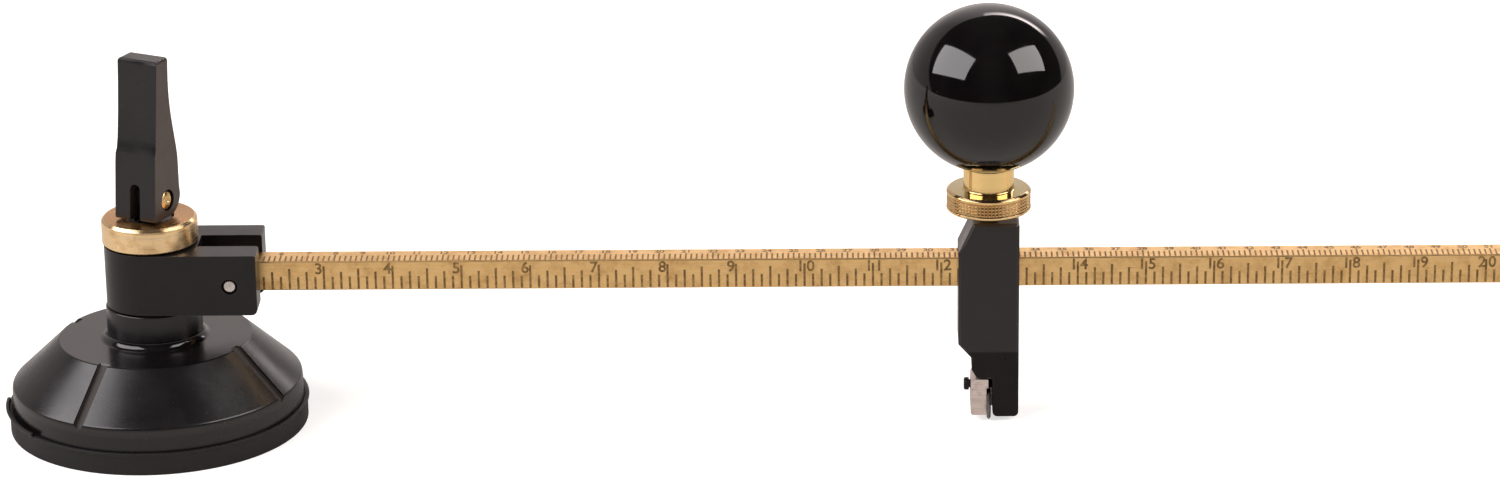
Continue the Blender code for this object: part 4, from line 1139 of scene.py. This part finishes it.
class CUTTER_OT_stage(bpy.types.Operator):
    """Make the floor, the two softboxes, the room and the camera"""
    bl_idname = "cutter.stage"
    bl_label = "Studio"

    def execute(self, context):
        self.floor(context)
        self.lights(context)
        self.room(context)
        self.camera(context)
        context.scene.view_settings.view_transform = "Standard"
        return {"FINISHED"}

    def floor(self, context):
        """A pale card. For the camera alone it is lifted to white, more so far from the tool."""
        settings = context.scene.cutter_studio
        ground, centre = cad_box[0][2] / MM - 0.02, 150
        radius, thickness = 1800, 1.98
        outline = arc((centre, 0), radius, 0, FULL_TURN, 96)[:-1]
        floor = slab("studio_floor", outline, "Z", ground - thickness, ground)
        made, tree, shader = new_finish("matt_white_card", {"Roughness": 0.9,
                                                            "Emission Color": linear("#ffffff")})
        fibres = add(tree, "TexNoise", lumps(place(tree), 1.5, 2.0))
        away = add(tree, "VectorMath", [place(tree, centre=(centre * MM, 0, 0))],
                   operation="LENGTH")
        glow = add(tree, "MapRange", [away, 230, 900, settings.floor_glow, 1.0])
        seen = add(tree, "LightPath").outputs["Is Camera Ray"]
        feed(shader, {"Base Color": coats(tree, linear(settings.floor), (fibres, "#d8d4cf")),
                      "Emission Strength": add(tree, "Math", [seen, glow], operation="MULTIPLY")})
        floor.data.materials.append(made)

    def lights(self, context):
        """Two softboxes, left and right above the tool, as the ball mirrors them."""
        radiance, distance = context.scene.cutter_studio.light_radiance, 2.0
        target = Vector((middle("ball_knob", 0), 0, 50)) * MM
        for name, towards, along, (width, height), tint in (
                ("softbox_left", (-0.735, -0.257, 0.627), (0.43, -0.78, 0.15), (2.0, 1.2),
                 "#fffafd"),
                ("softbox_right", (0.734, -0.2, 0.65), (0.37, 0.59, -0.2), (1.58, 1.04),
                 "#fffaf7")):
            away = Vector(towards).normalized()
            across = Vector(along)
            across = (across - away * across.dot(away)).normalized()
            lamp = bpy.data.lights.new(name, "AREA")
            lamp.shape = "RECTANGLE"
            lamp.size, lamp.size_y = width, height
            lamp.energy = radiance * math.pi * width * height
            lamp.color = linear(tint)[:3]
            light = put(name, lamp)
            turn = axes(across, away.cross(across), away)
            light.matrix_world = Matrix.Translation(target + away * distance) @ turn
            light.visible_camera = False

    def room(self, context):
        """White for the camera. Mirrors see a white sweep behind and a dark room above."""
        world = bpy.data.worlds.new("studio_room")
        context.scene.world = world
        world.use_nodes = True
        tree = world.node_tree
        tree.nodes.clear()
        path = add(tree, "LightPath").outputs
        x, y, z = add(tree, "SeparateXYZ", [add(tree, "TexCoord").outputs["Generated"]]).outputs
        # The sweep's top edge slopes down to the right, and the sweep falls off to both sides
        right = add(tree, "Math", [x, -0.1], operation="MAXIMUM")
        edge = add(tree, "Math", [right, -0.5, y], operation="MULTIPLY_ADD")
        below = add(tree, "Math", [edge, z], operation="SUBTRACT")
        aside = add(tree, "Math", [x], operation="ABSOLUTE")
        sweep = product(tree, (below, -0.03, 0.01, 0.1, 1.0), (aside, 0.1, 0.45, 1.0, 0.5))
        # A bright strip of light lies along that edge, from the middle to the right
        strip = product(tree, (below, -0.03, 0.0, 0.0, 1.0), (below, 0.04, 0.2, 1.0, 0.0),
                        (x, 0.0, 0.3, 4.0, 10.0), (x, -0.06, -0.02, 0.0, 1.0),
                        (x, 0.62, 0.52, 0.0, 1.0))
        bright = add(tree, "Math", [sweep, strip], operation="ADD")
        even = add(tree, "Background", {"Color": linear("#ffffff"),
                                        "Strength": context.scene.cutter_studio.room_light})
        mirror = add(tree, "Background", {"Color": linear("#fff3f0"), "Strength": bright})
        white = add(tree, "Background", {"Color": linear("#ffffff"), "Strength": 1.0})
        shiny = add(tree, "Math", [path["Is Glossy Ray"], path["Is Transmission Ray"]],
                    operation="MAXIMUM")
        lit = add(tree, "MixShader", [shiny, even, mirror])
        seen = add(tree, "MixShader", [path["Is Camera Ray"], lit, white])
        add(tree, "OutputWorld", {"Surface": seen})

    def camera(self, context):
        """The photograph's view. The bar runs out of the frame, so the lens centre is shifted."""
        # In pixels of the photograph: the focal length, the lens centre's column and the width
        focal, centre_column, width = 4868.2, 1000, 1500
        place_at = Vector((128.12, -851.72, 342.28)) * MM
        yaw, pitch, roll = (math.radians(a) for a in (1.9594, 19.842, 0.3221))
        ahead = Vector((math.sin(yaw) * math.cos(pitch), math.cos(yaw) * math.cos(pitch),
                        -math.sin(pitch)))
        level = Vector((math.cos(yaw), -math.sin(yaw), 0))
        up = level.cross(ahead)
        across = math.cos(roll) * level + math.sin(roll) * up
        camera = put("photo_camera", bpy.data.cameras.new("photo_camera"))
        turn = axes(across, math.cos(roll) * up - math.sin(roll) * level, -ahead)
        camera.matrix_world = Matrix.Translation(place_at) @ turn
        camera.data.sensor_width = 36
        camera.data.lens = camera.data.sensor_width * focal / width
        camera.data.shift_x = -(centre_column - width / 2) / width
        camera.data.clip_end = 20
        context.scene.camera = camera


OPERATORS = (CUTTER_OT_base, CUTTER_OT_collar, CUTTER_OT_lever, CUTTER_OT_arm, CUTTER_OT_bar,
             CUTTER_OT_head, CUTTER_OT_clamp, CUTTER_OT_knob, CUTTER_OT_inner, CUTTER_OT_stage)
GROUPS = {"cutter_colours": CutterColours, "cutter_base": BaseSizes, "cutter_scale": ScaleSizes,
          "cutter_clamp": ClampSizes, "cutter_studio": StudioSettings}


class CUTTER_PT_panel(bpy.types.Panel):
    """Lists the pieces, their sizes and their colours"""
    bl_idname = "CUTTER_PT_panel"
    bl_label = "Circle cutter"
    bl_space_type = "VIEW_3D"
    bl_region_type = "UI"
    bl_category = "Circle cutter"

    def draw(self, context):
        for operator in OPERATORS:
            self.layout.operator(operator.bl_idname)
        for group_name, group in GROUPS.items():
            box = self.layout.box()
            box.label(text=group.__doc__)
            for name in group.__annotations__:
                box.prop(getattr(context.scene, group_name), name)


def register():
    for group_name, group in GROUPS.items():
        bpy.utils.register_class(group)
        setattr(bpy.types.Scene, group_name, PointerProperty(type=group))
    for operator in OPERATORS:
        bpy.utils.register_class(operator)
    bpy.utils.register_class(CUTTER_PT_panel)


def unregister():
    bpy.utils.unregister_class(CUTTER_PT_panel)
    for operator in reversed(OPERATORS):
        bpy.utils.unregister_class(operator)
    for group_name, group in GROUPS.items():
        delattr(bpy.types.Scene, group_name)
        bpy.utils.unregister_class(group)


def main():
    """Make every piece in order."""
    register()
    for operator in OPERATORS:
        group, name = operator.bl_idname.split(".")
        if getattr(getattr(bpy.ops, group), name)() != {"FINISHED"}:
            raise RuntimeError(f"{operator.bl_label} wasn't finished")


if __name__ == "__main__":
    main()
